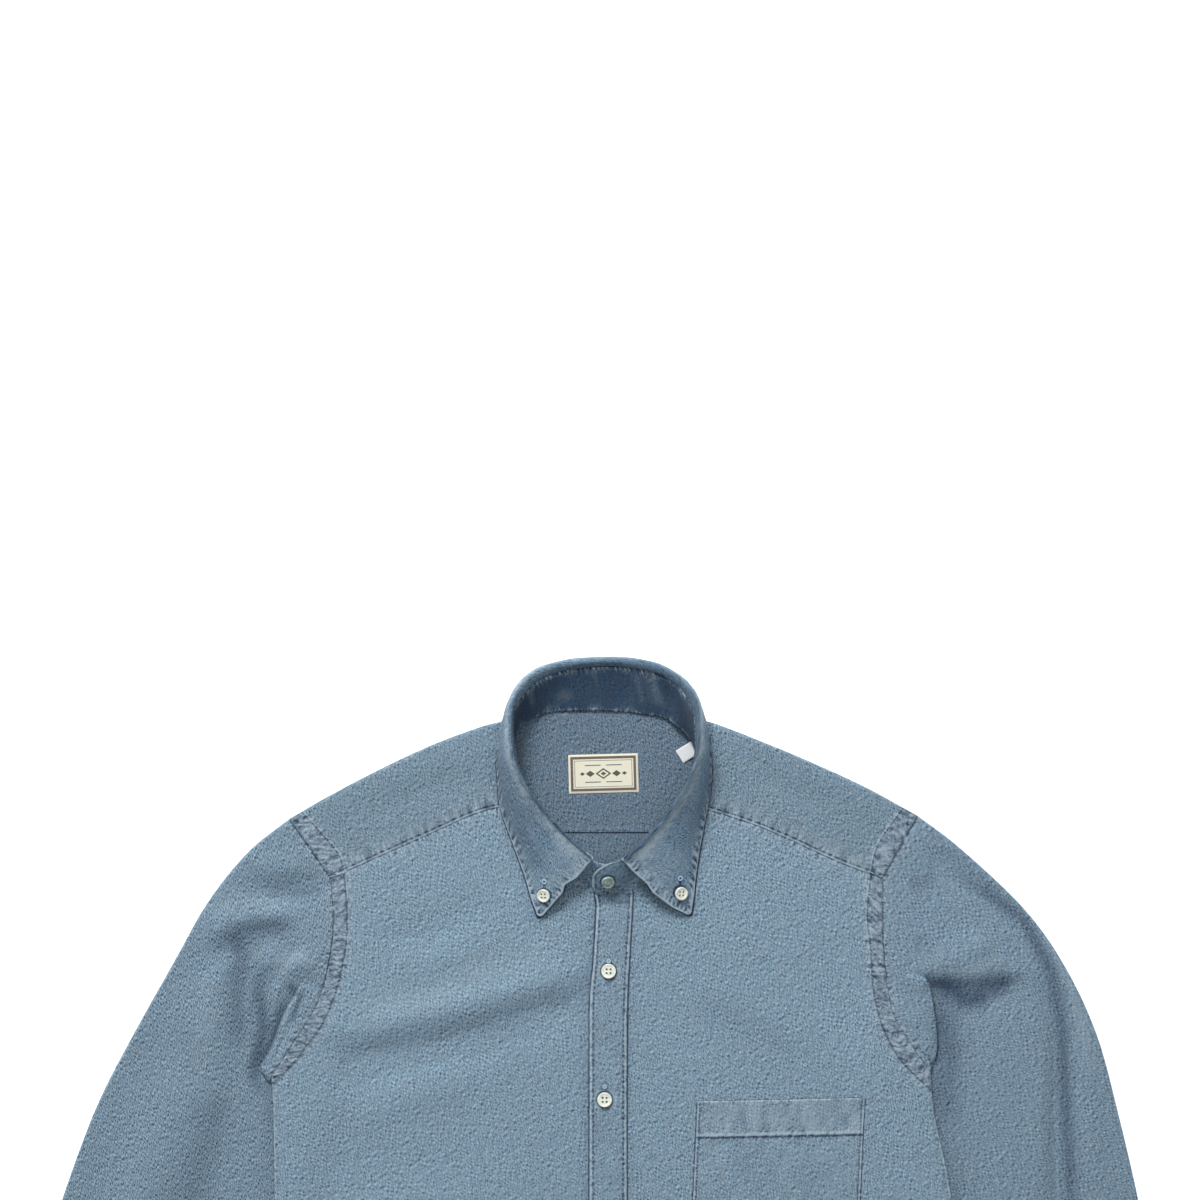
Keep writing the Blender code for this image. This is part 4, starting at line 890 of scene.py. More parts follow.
def yoke():
    """The yoke folds over both shoulders, from the back seam to the front seams."""
    right, left = seams("right"), seams("left")
    share = graded(195)[: len(graded(195)) // 2 + 1]
    share = np.concatenate([share, np.linspace(share[-1], 1, 40)[1:]])
    neck = smooth_points(NECK_EDGE, 24)
    neck = joined(neck, (neck * (-1, 1))[::-1])
    folds_r, folds_l = at_shares(right["shoulder"], share), at_shares(left["shoulder"], share)
    seam_r, seam_l = at_shares(right["yoke_seam"], share), at_shares(left["yoke_seam"], share)
    fold = joined(folds_r, neck, folds_l[::-1])
    near, count = len(share), len(fold)
    seam = fold.copy()
    seam[:near], seam[count - near:] = seam_r, seam_l[::-1]
    has_front = np.zeros(count, bool)
    has_front[:near] = has_front[count - near:] = True
    along = lengths_along(fold) / lengths_along(fold)[-1]
    foot_x = np.interp(along, [0, 1], [BACK_ARMHOLE["right"][0][0], BACK_ARMHOLE["left"][0][0]])
    foot = np.stack([foot_x, np.full(count, BACK_YOKE_SEAM_Y - YOKE_LAP)], axis=1)
    down, out = foot - fold, np.where(has_front[:, None], seam - fold, (0.0, 1.0))
    start = fold + EDGE_ROLL * has_front[:, None] * down / np.linalg.norm(down, axis=1)[:, None]
    over = fold + EDGE_ROLL * has_front[:, None] * out / np.linalg.norm(out, axis=1)[:, None]
    high = cloth_top(over[:, 0], over[:, 1])
    back_rows, roll_rows = 40, 8
    half = graded(110)
    front_share = 2 * (half[len(half) // 2:] - 0.5)
    parts = [foot + s * (start - foot) for s in np.linspace(0, 1, back_rows + 1) ** 1.4]
    heights = [(CLOTH + 0.05) * ease((5 - (part[:, 1] - foot[:, 1])) / 3.5) for part in parts]
    for step in range(1, roll_rows + 1):
        turn = math.pi * step / roll_rows
        level = (1 - math.cos(turn)) / 2
        parts.append(start + level * (over - start) + math.sin(turn) * (fold - (start + over) / 2))
        heights.append(high * level)
    for s in front_share[1:]:
        spot = over + s * (seam - over)
        parts.append(spot)
        heights.append(cloth_top(spot[:, 0], spot[:, 1]))
    plan = np.stack(parts, axis=1)
    x, y, z = plan[..., 0], plan[..., 1], np.stack(heights, axis=1)
    finish = Finish(x.shape)
    front_rows = np.broadcast_to(np.arange(plan.shape[1]) > back_rows + roll_rows, x.shape)
    for side, lines in (("right", right), ("left", left)):
        to_seam, _, along_seam = near_line(x, y, lines["yoke_seam"][::5])
        to_arm, _, _ = near_line(x, y, lines["arm_yoke"][::5])
        to_fell, _, along_fell = near_line(x, y, smooth_points(FELL_YOKE[side], 20))
        bumps = np.sin(2 * math.pi * (along_seam / 7.2 + 0.7 * noise(along_seam / 15, to_seam / 20, 7)))
        z = z + front_rows * (0.35 * bumps * bell(to_seam - 3, 8) * ease(to_seam / 2)
                              - ditch(to_seam, 0.4, 1.0) - ditch(to_arm, 0.5))
        finish.stitched(along_seam * 0.4, np.where(front_rows, to_seam + 8, 99), 25)
        finish.stitched(along_fell, np.where(front_rows, to_fell, 99), 4.5)
        finish.edged(np.where(front_rows, to_seam, 99), 2.0)
        to_leaf = beyond_leaf(x, y, side)
        beside = front_rows & ((x < 0) == (side == "right")) & (y < -72)
        # Painted shadow line and soft painted shade beside the leaf's edge.
        finish.covered(np.where(beside, to_leaf, 99))
        finish.wear_and_shading -= beside * 0.3 * np.exp(-np.abs(to_leaf) / 4)
        finish.grey += front_rows * 0.8 * bell(to_seam, 13)
        finish.wear_and_shading += front_rows * 0.18 * bumps * bell(to_seam - 4, 8)
    above = y - BACK_YOKE_SEAM_Y + YOKE_LAP
    finish.wear_and_shading += ~front_rows * (0.22 * np.sin(2 * math.pi * (x / 7.6 + 0.6 * noise(x / 14, y / 30, 8)))
                                  * bell(above - 5, 4) - 0.15 * np.exp(-above / 9))
    keep = np.ones((plan.shape[0] - 1, plan.shape[1] - 1), bool)
    keep[:, back_rows:] = (has_front[:-1] & has_front[1:])[:, None]
    grid = np.dstack([x, y, z])
    normal = facing(grid, (0, 0, 1), at=(near // 2, plan.shape[1] - 8))
    return shell("yoke_cloth", grid, CLOTH, normal, plan, finish, "yoke", "reverse", keep=keep)


# ---------------------------------------------------------------- felled seams
def seam_band(name, base, inner, height, seed, over=None, under=None):
    """A felled seam: the puckered allowance between a seam line and its inner line of stitches.

    over is a plan line whose cloth lies on this end of the band, under one that this end lies on."""
    base, inner = np.asarray(base, float), np.asarray(inner, float)
    steps = int(lengths_along(inner)[-1] / BAND_STEP) + 1
    base, inner = at_shares(base, np.linspace(0, 1, steps)), at_shares(inner, np.linspace(0, 1, steps))
    share = ease(np.linspace(0.1, 0.9, 19))
    share = (share - share[0]) / (share[-1] - share[0])
    plan = base[:, None] + share[None, :, None] * (inner - base)[:, None]
    x, y = plan[..., 0], plan[..., 1]
    width = np.linalg.norm(inner - base, axis=1)[:, None]
    along = np.broadcast_to(lengths_along(inner)[:, None], x.shape)
    d = share[None] * width
    ridge = crinkle(along, d, seed)
    inside = ease(d / 1.6) * ease((width - d) / 1.4)
    z = height(x, y) + 0.05 + 0.5 * inside + 0.46 * ridge * (0.1 + inside) - ditch(d, 0.3, 0.8)
    finish = Finish(x.shape)
    finish.run = along + 1.8 * noise(along / 5, d / 3, seed + 13)
    finish.away = 0.1 + 1.1 * np.minimum(d, width - d) / width
    finish.wear_and_shading = 1.35 * ridge * (0.3 + 0.7 * inside) - 0.1
    finish.edged(width - d + 0.45 + 0 * along, 2.1)
    # Painted shadow line where the over line's cloth lies on this end of the band.
    if over is not None:
        finish.covered(signed_distance(x, y, over))
    if under is not None:
        away, _, _ = near_line(x, y, under)
        finish.edged(away, 2.0)
    finish.grey = np.ones(x.shape)
    grid = np.dstack([x, y, z])
    piece = shell(name, grid, 0.3, facing(grid, (0, 0, 1)), plan, finish, "band", "band")
    return piece, grid


def bands(sewing):
    made = []
    for side in SIDES:
        lines = seams(side)
        seed = 3.3 if side == "right" else 8.1
        end_y = FELL_FRONT[side][-1][1]
        below = lines["side"][lines["side"][:, 1] > end_y - 1]
        base = joined(lines["arm_front"], below)
        yoke_line = lines["yoke_seam"][::10]
        for name, start, inner, height, over, under in (
                ("armhole_band", base, smooth_points(FELL_FRONT[side], 90), front_height(side), yoke_line,
                 None),
                ("yoke_armhole_band", lines["arm_yoke"], smooth_points(FELL_YOKE[side], 40), cloth_top,
                 None, yoke_line)):
            piece, grid = seam_band(f"{name}_{side}", start, inner, height, seed, over, under)
            made.append(piece)
            sewing.add(grid[:, -4], 0.06)
            seed += 2
    return made


def front_height(side):
    def height(x, y):
        return side_edge(x, y, cloth_top(x, y), side)
    return height


# ---------------------------------------------------------------- sleeves and cuffs
def sleeve_edges(side):
    return smooth_points(SLEEVE_INNER[side], 40), smooth_points(SLEEVE_OUTER[side], 40)


def body_edge_x(side, y):
    line = FRONT_ARMHOLE[side][:0:-1] + SIDE_SEAM[side][1:]
    line = sorted((b, abs(a)) for a, b in line)
    return np.interp(y, *zip(*line))


def sleeve_top(x, y, side):
    """Outer face of a sleeve's upper layer: hollow beside the armpit fold, thin under the body's side."""
    free = cloth_top(x, y, lift=False)
    outer, away, begins = beside_fold(x, y, side)
    head = bell(away, 60) * ease((-150 - y) / 60)
    hollow = 2.6 * bell(away, 22) + 1.8 * bell(away, 7)
    free = free + 2.0 * head - begins * np.where(outer, hollow, 3.4 * ease(away / 2 + 1))
    out = np.abs(x) - body_edge_x(side, y)
    low = TUCK_LIFT - SEAM_GAP - 0.25
    tucked = ease((SIDE_SEAM[side][0][1] + 60 - y) / 28) * (1 - ease((out - 4) / 28))
    free = free + (np.minimum(low, free) - free) * tucked
    return np.maximum(free, 1.6)


def beside_fold(x, y, side):
    """Whether a point lies outside the armpit fold's edge, how far from it, and how much the fold is
    open there."""
    edge = smooth_points(ARMPIT_FOLD[side], 24)
    away, which, along = near_line(x, y, edge)
    share = along / lengths_along(edge)[-1]
    begins = ease(share / (FOLD_BEGINS[side] * 1.5)) * (1 - 0.5 * ease((share - 0.85) / 0.15))
    return which == (-1 if side == "right" else 1), away, begins


def sleeve_shade(x, y, side):
    """Dark of the hollows beside the armpit fold and along the body's side, where the cloth tucks under."""
    outer, away, begins = beside_fold(x, y, side)
    strength = 1.0 if side == "left" else 0.6
    shade = begins * outer * (0.55 * np.exp(-away / 5) + 0.45 * bell(away, 20))
    out = np.abs(x) - body_edge_x(side, y)
    below = ease((SIDE_SEAM[side][0][1] + 20 - y) / 30) * (out > -5)
    return -strength * (shade + below * (0.5 * np.exp(-out / 4) + 0.3 * bell(out, 16)))


def sleeve_plan(seam, inner, outer, side, s, t):
    """Plan points of one layer of a sleeve: s from the inner to the outer edge, t down from the armhole."""
    sign = -1 if side == "right" else 1
    s, t = np.broadcast_arrays(s, t)

    def on(line, share):
        return at_shares(line, np.ravel(share)).reshape(*np.shape(share), 2)

    def ruled(s_at):
        return (1 - s_at)[..., None] * on(inner, t) + s_at[..., None] * on(outer, t)

    def lead(s_at):
        turn = np.radians(np.interp(s_at, *zip(*SLEEVE_FAN)))
        out = np.stack([sign * np.cos(turn), np.sin(turn)], axis=-1)
        return on(seam, s_at) + t[..., None] * SLEEVE_RUN * out - ruled(s_at)

    extra = lead(s) - ((1 - s) ** 8)[..., None] * lead(np.zeros_like(s)) - (s**8)[...,
                                                                                  None] * lead(np.ones_like(s))
    return ruled(s) + (1 - ease(t / SLEEVE_FAN_END))[..., None] * extra


def sleeve_seam(side, yoke_part, body_part, away):
    """The armhole line that a sleeve layer starts from. At the armpit it leaves the body and runs
    under it."""
    inner, outer = sleeve_edges(side)
    line = joined(body_part[::-1], yoke_part)
    line = line + SEAM_GAP * sideways(line, away)
    tail = 2 * len(body_part) // 9
    line = np.vstack([at_shares(np.array([inner[0], line[tail]]), np.linspace(0, 1, 20)), line[tail + 1:]])
    line[-1] = outer[0]
    return line


def sleeve(side):
    """A set-in sleeve as a flattened tube, from the armhole seam to the cuff seam."""
    lines = seams(side)
    inner, outer = sleeve_edges(side)
    front_seam = sleeve_seam(side, lines["arm_yoke"], lines["arm_front"], outer[20])
    outer = outer.copy()
    outer[0] = front_seam[-1]
    back_seam = sleeve_seam(side, lines["arm_back_yoke"], lines["arm_back"], outer[20])
    back_seam[-1] = front_seam[-1]
    t = graded(530, 1.2, 2.7)
    width = np.linalg.norm(at_shares(outer, t) - at_shares(inner, t), axis=1)
    rim = EDGE_ROLL / width

    def layer(seam, columns):
        c = np.linspace(0, 1, columns)[:, None]
        return sleeve_plan(seam, inner, outer, side, rim[None] + c * (1 - 2 * rim[None]), t[None])

    top, bottom = layer(front_seam, 90), layer(back_seam, 40)
    top_z = sleeve_top(top[..., 0], top[..., 1], side)
    to_arm, _, _ = near_line(top[..., 0], top[..., 1],
                             joined(lines["arm_front"][::-5], lines["arm_yoke"][::4]))
    top_z -= ditch(to_arm, 0.5)

    def rolled(high, low, tip, tip_z):
        sections = []
        for turn in np.linspace(0, math.pi, 8)[1:-1]:
            level = (1 + math.cos(turn)) / 2
            flat = low + level * (high - low) + math.sin(turn) * (tip - (high + low) / 2)
            sections.append(np.column_stack([flat, tip_z * level]))
        return sections

    outer_tip = sleeve_plan(front_seam, inner, outer, side, np.ones((1, len(t))), t[None])[0]
    inner_tip = sleeve_plan(front_seam, inner, outer, side, np.zeros((1, len(t))), t[None])[0]
    loop = [np.column_stack([row, z]) for row, z in zip(top, top_z)]
    loop += rolled(top[-1], bottom[-1], outer_tip, top_z[-1])
    loop += [np.column_stack([row, np.zeros(len(t))]) for row in bottom[::-1]]
    loop += rolled(top[0], bottom[0], inner_tip, top_z[0])[::-1]
    grid = np.stack(loop + [loop[0]])
    x, y = grid[..., 0], grid[..., 1]
    finish = Finish(x.shape)
    to_arm, _, along_arm = near_line(x, y, joined(lines["arm_front"][::-5], lines["arm_yoke"][::4]))
    finish.stitched(along_arm, to_arm, 5)
    # Painted shadow line along the armhole seam; painted fold shade and highlights and painted hollow shade on
    # the upper layer.
    finish.covered(to_arm + np.where(y < lines["arm_front"][0][1], 0.55, -0.2))
    upper = (np.arange(len(grid)) < len(top))[:, None]
    finish.wear_and_shading = 0.25 * np.exp(-to_arm / 4) + upper * (fold_light_and_shade(x, y) + sleeve_shade(x, y, side))
    return shell(f"sleeve_cloth_{side}", grid, CLOTH, facing(grid, (0, 0, 1), at=(40, 60)),
                 turned(grid[..., :2], SLEEVE_GRAIN[side]), finish, "sleeve", "reverse", tube=True)


def armpit_fold(side):
    """The flap of sleeve cloth beside the lower armhole, which turns under at its outer edge."""
    arm = seams(side)["arm_front"]
    tip = smooth_points(ARMPIT_FOLD[side], 110)
    share = np.linspace(0, 1, 111)
    from_share = np.interp(-tip[0][1] - 4, -arm[:, 1], np.linspace(0, 1, len(arm)))
    root = at_shares(arm, from_share + share * (1 - from_share))
    section = np.linspace(0, 1, 30)
    begins = ease(share / FOLD_BEGINS[side])[:, None]
    flat = root[:, None] + section[None, :, None] * (tip - root)[:, None]
    x, y = flat[..., 0], flat[..., 1]
    width = np.linalg.norm(tip - root, axis=1)[:, None]
    inward = (1 - section[None]) * width
    root_z = cloth_top(root[:, 0], root[:, 1])[:, None]
    free_tip = cloth_top(tip[:, 0], tip[:, 1], lift=False)[:, None]
    tip_z = np.maximum(free_tip + 2.6, root_z - 1.6)
    high = root_z + (tip_z - root_z) * section[None] + 0.8 * np.sin(np.pi * section)[None]
    high = high - 0.9 * ease(1 - inward / 4) + 0.35 * noise(share[:, None] * 9 + section[None] * 3,
                                                            section[None] * 2.2, 31)
    if side == "right":
        high = high - 0.8 * bell(inward - 7, 3) * begins
    low = sleeve_top(x, y, side) - 0.9
    z = low + (high - low) * begins - ditch(section[None] * width, 0.5, 1.4)
    out = (tip - root) / width
    turn_under = []
    for turn in np.linspace(0.15, 1, 8):
        angle = math.pi * turn
        reach = 0.9 * math.sin(angle) - 4.0 * max(0.0, turn - 0.6)
        turn_under.append(np.column_stack([tip + reach * out, z[:, -1] - 0.8 * (1 - math.cos(angle))]))
    grid = np.concatenate([np.dstack([flat, z]), np.stack(turn_under, axis=1)], axis=1)
    finish = Finish(grid.shape[:2])
    from_tip = np.linalg.norm(grid[..., :2] - tip[:, None], axis=2)
    from_root = np.linalg.norm(grid[..., :2] - root[:, None], axis=2)
    # A light line along the fold's edge: a painted highlight, strongest on the right fold.
    edge_light = (0.8 if side == "right" else 0.15) * ease((0.62 - share) / 0.2)[:, None]
    finish.wear_and_shading = (edge_light * bell(from_tip, 1.2) * begins + 0.3 * np.exp(-from_root / 3)
                   + np.where(from_root > 1.5, 1, 0.3) * fold_light_and_shade(grid[..., 0], grid[..., 1]))
    # Painted shade: the turned-under cloth is darkened, and a painted shadow line runs along the root.
    finish.wear_and_shading[:, -8:] = -0.8
    finish.covered(from_root + 0.5)
    if side == "left":
        to_notch, _, _ = near_line(grid[..., 0], grid[..., 1], NOTCH)
        # painted shade in the small tuck
        finish.wear_and_shading -= 1.3 * bell(to_notch, 0.9)
    along = np.broadcast_to(lengths_along(root)[:, None], from_root.shape)
    finish.stitched(along * 0.8, from_root, 10)
    return shell(f"armpit_fold_{side}", grid, 0.5, facing(grid, (0, 0, 1), at=(70, 10)),
                 turned(grid[..., :2], SLEEVE_GRAIN[side]), finish, "sleeve", "sleeve")


def cuff_frame(side):
    inner, outer = sleeve_edges(side)
    across = outer[-1] - inner[-1]
    across /= np.linalg.norm(across)
    down = np.array([across[1], -across[0]]) * (-1 if side == "left" else 1)
    if down[1] > 0:
        down = -down
    return inner[-1] + 5 * across + SEAM_GAP * down, outer[-1] - 5 * across + SEAM_GAP * down, across, down


def cuff(side, sewing):
    """A barrel cuff, one end lapped over the other on the upper side."""
    inner, outer, across, down = cuff_frame(side)
    width = np.linalg.norm(outer - inner)
    bend = 3 / width
    low_top = CUFF_TOP - 1.3 - SEAM_GAP
    over_end, under_end = CUFF_LAP
    section = [(s, low_top) for s in np.linspace(over_end, 1 - bend, 34)]
    section += [(1 - bend + bend * math.sin(a), low_top * (1 + math.cos(a)) / 2)
                for a in np.linspace(0, math.pi, 9)[1:]]
    section += [(s, 0.0) for s in np.linspace(1 - bend, bend, 40)[1:]]
    section += [(bend - bend * math.sin(a), CUFF_TOP * (1 - math.cos(a)) / 2)
                for a in np.linspace(0, math.pi, 9)[1:]]
    section += [(s, CUFF_TOP) for s in np.linspace(bend, under_end, 26)[1:]]
    section = np.array(section)
    t = graded(CUFF_LENGTH, 0.6, 2.4, 6.5)
    plan = (inner + section[:, 0, None, None] * (outer - inner) + t[None, :, None] * CUFF_LENGTH * down)
    z = np.broadcast_to(section[:, 1, None], plan.shape[:2]).copy()
    along = section[:, 0, None] * width + 0 * t[None]
    from_sleeve, from_hand = t[None] * CUFF_LENGTH + 0 * along, (1 - t[None]) * CUFF_LENGTH + 0 * along
    edge = np.minimum(from_sleeve, from_hand)
    ridge = pucker(along, edge, 41)
    upper = (section[:, 1] > low_top * 0.9)[:, None]
    z += upper * (0.12 * ridge * ease((7 - edge) / 3) - ditch(np.abs(edge - CUFF_STITCH_IN), 0.15, 0.6)
                  + 0.15 * noise(plan[..., 0] / 16, plan[..., 1] / 16, 42))
    finish = Finish(z.shape)
    finish.stitched(along, edge, 7)
    finish.edged(edge, CUFF_STITCH_IN)
    finish.wear_and_shading = 0.3 * ridge * ease((7 - edge) / 3)
    finish.grey += 0.6
    grid = np.dstack([plan, z])
    normal = facing(grid, (0, 0, 1), at=(10, len(t) // 2))
    ends = np.minimum(np.arange(len(section)), np.arange(len(section))[::-1])
    for part in (slice(0, 34), slice(-26, None)):           # the two ends, on the upper side
        for share in (CUFF_STITCH_IN / CUFF_LENGTH, 1 - CUFF_STITCH_IN / CUFF_LENGTH):
            sewing.add(at_column(grid, t, share)[part], 0.08)
    free = np.minimum(edge, ends[:, None] * 2.0)
    return shell(f"cuff_cloth_{side}", grid, 1.1, normal, turned(plan, SLEEVE_GRAIN[side]), finish,
                 "face", "reverse", free_edge=free)


def at_column(grid, shares, share):
    """The line of the grid at this share of its second direction."""
    return np.stack([[np.interp(share, shares, column[:, k]) for k in range(3)] for column in grid])


# ---------------------------------------------------------------- placket and pocket
def placket_height(x, y):
    return cloth_top(x, y) + 1.3


def button_spots():
    """Plan centres of the placket's buttons."""
    return [(x, -238.2 - count * BUTTON_SPACING) for count, x in enumerate((1.9, -1.1, -0.5, -0.3, -0.2))]


def placket(sewing):
    """The band with the buttonholes. Its left edge is a fold, its right edge is sewn to the front."""
    rows = 460
    left, right = smooth_points(PLACKET_LEFT, rows), smooth_points(PLACKET_RIGHT, rows)
    width = PLACKET_WIDTH
    across = graded(width, 0.6, 1.1, 3.5)
    plan = left[None] + across[:, None, None] * (right - left)[None]
    x, y = plan[..., 0], plan[..., 1]
    along = np.broadcast_to(lengths_along(left)[None], x.shape)
    d_left, d_right = across[:, None] * width + 0 * x, (1 - across[:, None]) * width + 0 * x
    edge = np.minimum(d_left, d_right)
    z = placket_height(x, y) - ditch(np.abs(edge - PLACKET_STITCH_IN), 0.16, 0.6)
    z -= 0.5 * ease((2.4 - d_right) / 2.4)
    z += 0.16 * noise(x / 9, y / 5, 52) * ease((edge - 3) / 4) + 0.16 * noise(x / 20, y / 2.6,
                                                                              53) * np.exp(-edge / 3)
    finish = Finish(x.shape)
    finish.stitched(0.62 * along + 400 * (d_left > d_right), edge, 5.5)
    finish.edged(edge - 0.5, 2.3)
    for (bx, by), shift in zip(button_spots(), FRONT_HOLE_SHIFTS):
        away = np.hypot(x - bx, y - by)
        z -= 0.35 * bell(away, 7)
        z += 0.35 * noise(np.arctan2(y - by, x - bx) * 2.2, away / 20, by) * bell(away - 10, 5)
        # Painted shadow and shade round each button: a dark ring at its edge, soft shade round it and a dark
        # line round its buttonhole; lighter arcs to either side.
        finish.wear_and_shading -= 0.35 * bell(away, 8)
        finish.covered(away - BUTTON_RADIUS + 0.1)
        finish.wear_and_shading += 1.1 * bell(away - 7.9, 1.1) * np.abs(x - bx) / np.maximum(away, 1)
        slit = np.hypot(x - bx, np.maximum(0, np.abs(y - by - shift) - 8.2))
        finish.wear_and_shading -= 0.8 * bell(slit - 2.2, 0.8)
    # The placket's top under the stand is darker and a deeper blue: painted shadow of the stand, and unworn
    # indigo.
    under_stand = ease((y + 188.5) / 2.0)
    finish.wear_and_shading += 0.15 * noise(x / 7, y / 12, 54) - 0.65 * under_stand + 0.5 * bell(edge - 0.9, 0.8) - 0.08
    finish.grey = 0.25 + 0.3 * bell(edge, 4)
    finish.deep = 0.3 * under_stand
    grid = np.dstack([x, y, z])
    for share in (PLACKET_STITCH_IN / width, 1 - PLACKET_STITCH_IN / width):
        sewing.add(at_column(grid.transpose(1, 0, 2), across, share), 0.03)
    return shell("placket_cloth", grid, 0.9, facing(grid, (0, 0, 1)), plan, finish,
                 "face", "reverse", free_edge=edge)


def pocket_point(s, t):
    corner, end = np.array(POCKET_TOP_LEFT), np.array(POCKET_TOP_RIGHT)
    down = np.array([math.sin(POCKET_LEAN), -math.cos(POCKET_LEAN)])
    depth = POCKET_SIDE + POCKET_POINT * (1 - np.abs(2 * s - 1))
    return corner + s[..., None] * (end - corner) + (t * depth)[..., None] * down


def pocket(sewing):
    """Patch pocket with a deep hem at its opening, sewn down along its sides and pointed bottom."""
    width = float(np.linalg.norm(np.subtract(POCKET_TOP_RIGHT, POCKET_TOP_LEFT)))
    hem_rows = np.linspace((POCKET_HEM - 5) / (POCKET_SIDE + POCKET_POINT), (POCKET_HEM + 3) / POCKET_SIDE,
                           18)
    rows = graded(POCKET_SIDE + POCKET_POINT, 0.6, 1.7, 4.0)
    rows = np.sort(np.append(rows[np.abs(rows - hem_rows.mean()) > np.ptp(hem_rows) / 2 + 0.003], hem_rows))
    s, t = np.meshgrid(graded(width, 0.6, 1.9, 4.0), rows, indexing="ij")
    plan = pocket_point(s, t)
    x, y = plan[..., 0], plan[..., 1]
    depth = POCKET_SIDE + POCKET_POINT * (1 - np.abs(2 * s - 1))
    d_side = np.minimum(s, 1 - s) * width
    d_top, d_bottom = t * depth, (1 - t) * depth
    sewn = np.minimum(d_side, d_bottom)
    below_hem = d_top - POCKET_HEM
    z = cloth_top(x, y) + 0.95 + 0.6 * ease((sewn - 2.5) / 16)
    z += 0.3 * ease((1 - below_hem) / 1.5) - ditch(below_hem, 0.3, 0.7) - ditch(np.abs(sewn - 1.6), 0.12,
                                                                                0.5)
    z += 0.3 * noise(x / 16, y / 10, 63) * ease(sewn / 8) + 0.14 * noise(x / 4.2, y / 7, 64)
    finish = Finish(x.shape)
    finish.stitched(t * depth + 300 * (s < 0.5), d_side, 3.6)
    finish.stitched(s * width + 0.5 * below_hem, np.abs(below_hem + 1.5), 6.5)
    finish.stitched(s * width + 500, d_bottom, 4)
    finish.stitched(s * width + 700, d_top, 4)
    finish.edged(sewn, 1.9)
    finish.edged(d_top)
    # Painted shadow line below the hem's edge.
    finish.covered(below_hem)
    hem = ease(-below_hem / 1.5)
    finish.edged(np.abs(below_hem + 2.0) - 0.2 + 0.5 * np.sin(s * width * 2.6 + 1.2 * below_hem))
    finish.wear_and_shading = (0.25 * noise(x / 9, y / 14, 65)
                   + hem * (0.12 + 0.5 * noise(x / 3.4, y / 9, 66)) + 0.5 * bell(below_hem + 2.0, 0.9))
    finish.grey = 0.45 * hem + 0.15
    grid = np.dstack([x, y, z])
    for share in (POCKET_STITCH_IN / width, 1 - POCKET_STITCH_IN / width):
        sewing.add(at_column(grid.transpose(1, 0, 2), s[:, 0], share), 0.02)
    for share in (POCKET_HEM / (POCKET_SIDE + POCKET_POINT / 2), 1 - 1.7 / POCKET_SIDE):
        sewing.add(at_column(grid, t[0], share), 0.02)
    tail = smooth_points([(82, -330), (86, -335.5), (89, -333), (93, -334), (95, -336)], 6)
    sewing.add(np.column_stack([tail, cloth_top(tail[:, 0], tail[:, 1]) + 0.7]))
    near_top = at_column(grid, t[0], 0.012)
    for corner, width_tack in ((0.012, 1.6), (0.972, 4.2)):     # bar tacks across the pocket's top corners
        start = at_shares(near_top, [corner])[0]
        for k in range(6):
            first = start + (-0.4, 0.35 * k - 0.9, 0.3)
            sewing.add([first, first + (width_tack, 0, 0)])
    return shell("pocket_cloth", grid, 0.8, facing(grid, (0, 0, 1)), plan, finish,
                 "face", "reverse", free_edge=np.minimum(sewn, d_top))


# ---------------------------------------------------------------- collar
def stand_rows(side):
    """The stand's half stations from the centre front, on one side."""
    rows = np.array(STAND, float)
    for index, (foot_x, foot_y, top_x) in STAND_SHIFT[side].items():
        rows[index, [0, 1, 2]] += foot_x, foot_y, top_x
    if side == "right":
        rows[2:, 0] *= -1
        rows[2:, 2] *= -1
    return rows


def stand_stations():
    stations = []
    for fx, fy, tx, ty, tz in joined(stand_rows("right"), stand_rows("left")[:0:-1]):
        behind = float(ease((fy + 52) / 8))
        high = float(cloth_top(np.array(fx), np.array(fy))) + SEAM_GAP + 0.9
        low = CLOTH + 1.0
        stations.append([fx, fy, high + behind * (low - high), tx, ty, tz])
    for index, raised in enumerate(OVER_END_RAISED):
        stations[-1 - index][2] += raised
        stations[-1 - index][5] += raised
    foot_z = stations[-1][2]
    for fx, fy, tx, ty, tz in OVER_END:
        stations.append([fx, fy, foot_z + 0.45 * (fy + 176.5), tx, ty, tz])
    return np.array(stations)


def edge_distance(grid):
    """Distance of each grid point from the last row, and from the first and last columns, on the cloth."""
    down = np.linalg.norm(np.diff(grid, axis=1), axis=2)
    down = np.concatenate([np.zeros((grid.shape[0], 1)), np.cumsum(down, axis=1)], axis=1)
    across = np.linalg.norm(np.diff(grid, axis=0), axis=2)
    across = np.concatenate([np.zeros((1, grid.shape[1])), np.cumsum(across, axis=0)], axis=0)
    return down, down[:, -1:] - down, across, across[-1:] - across


def inset_line(grid, normal, distance, last=True):
    """The line this far in from the grid's last (or first) row, measured on the cloth, with its normals."""
    lines = []
    for column, ways in zip(grid, normal):
        both = np.column_stack([column, ways])
        total = lengths_along(both)[-1]
        lines.append(at_lengths(both, [total - distance if last else distance])[0])
    lines = np.array(lines)
    return lines[:, :3], lines[:, 3:]


def rounded_corner(grid, row, radius):
    """Rounds the corner where this end row meets the free edge."""
    step = 1 if row == 0 else -1
    corner = grid[row, -1].copy()
    inward, back = grid[row + 8 * step, -1] - corner, grid[row, -12] - corner
    inward, back = inward / np.linalg.norm(inward), back / np.linalg.norm(back)
    _, up, start, end = edge_distance(grid)
    a = np.clip(1 - (start if row == 0 else end) / radius, 0, 1)[..., None]
    b = np.clip(1 - up / radius, 0, 1)[..., None]
    grid += radius * ((a - a * np.sqrt(1 - b**2 / 2)) * inward + (b - b * np.sqrt(1 - a**2 / 2)) * back)


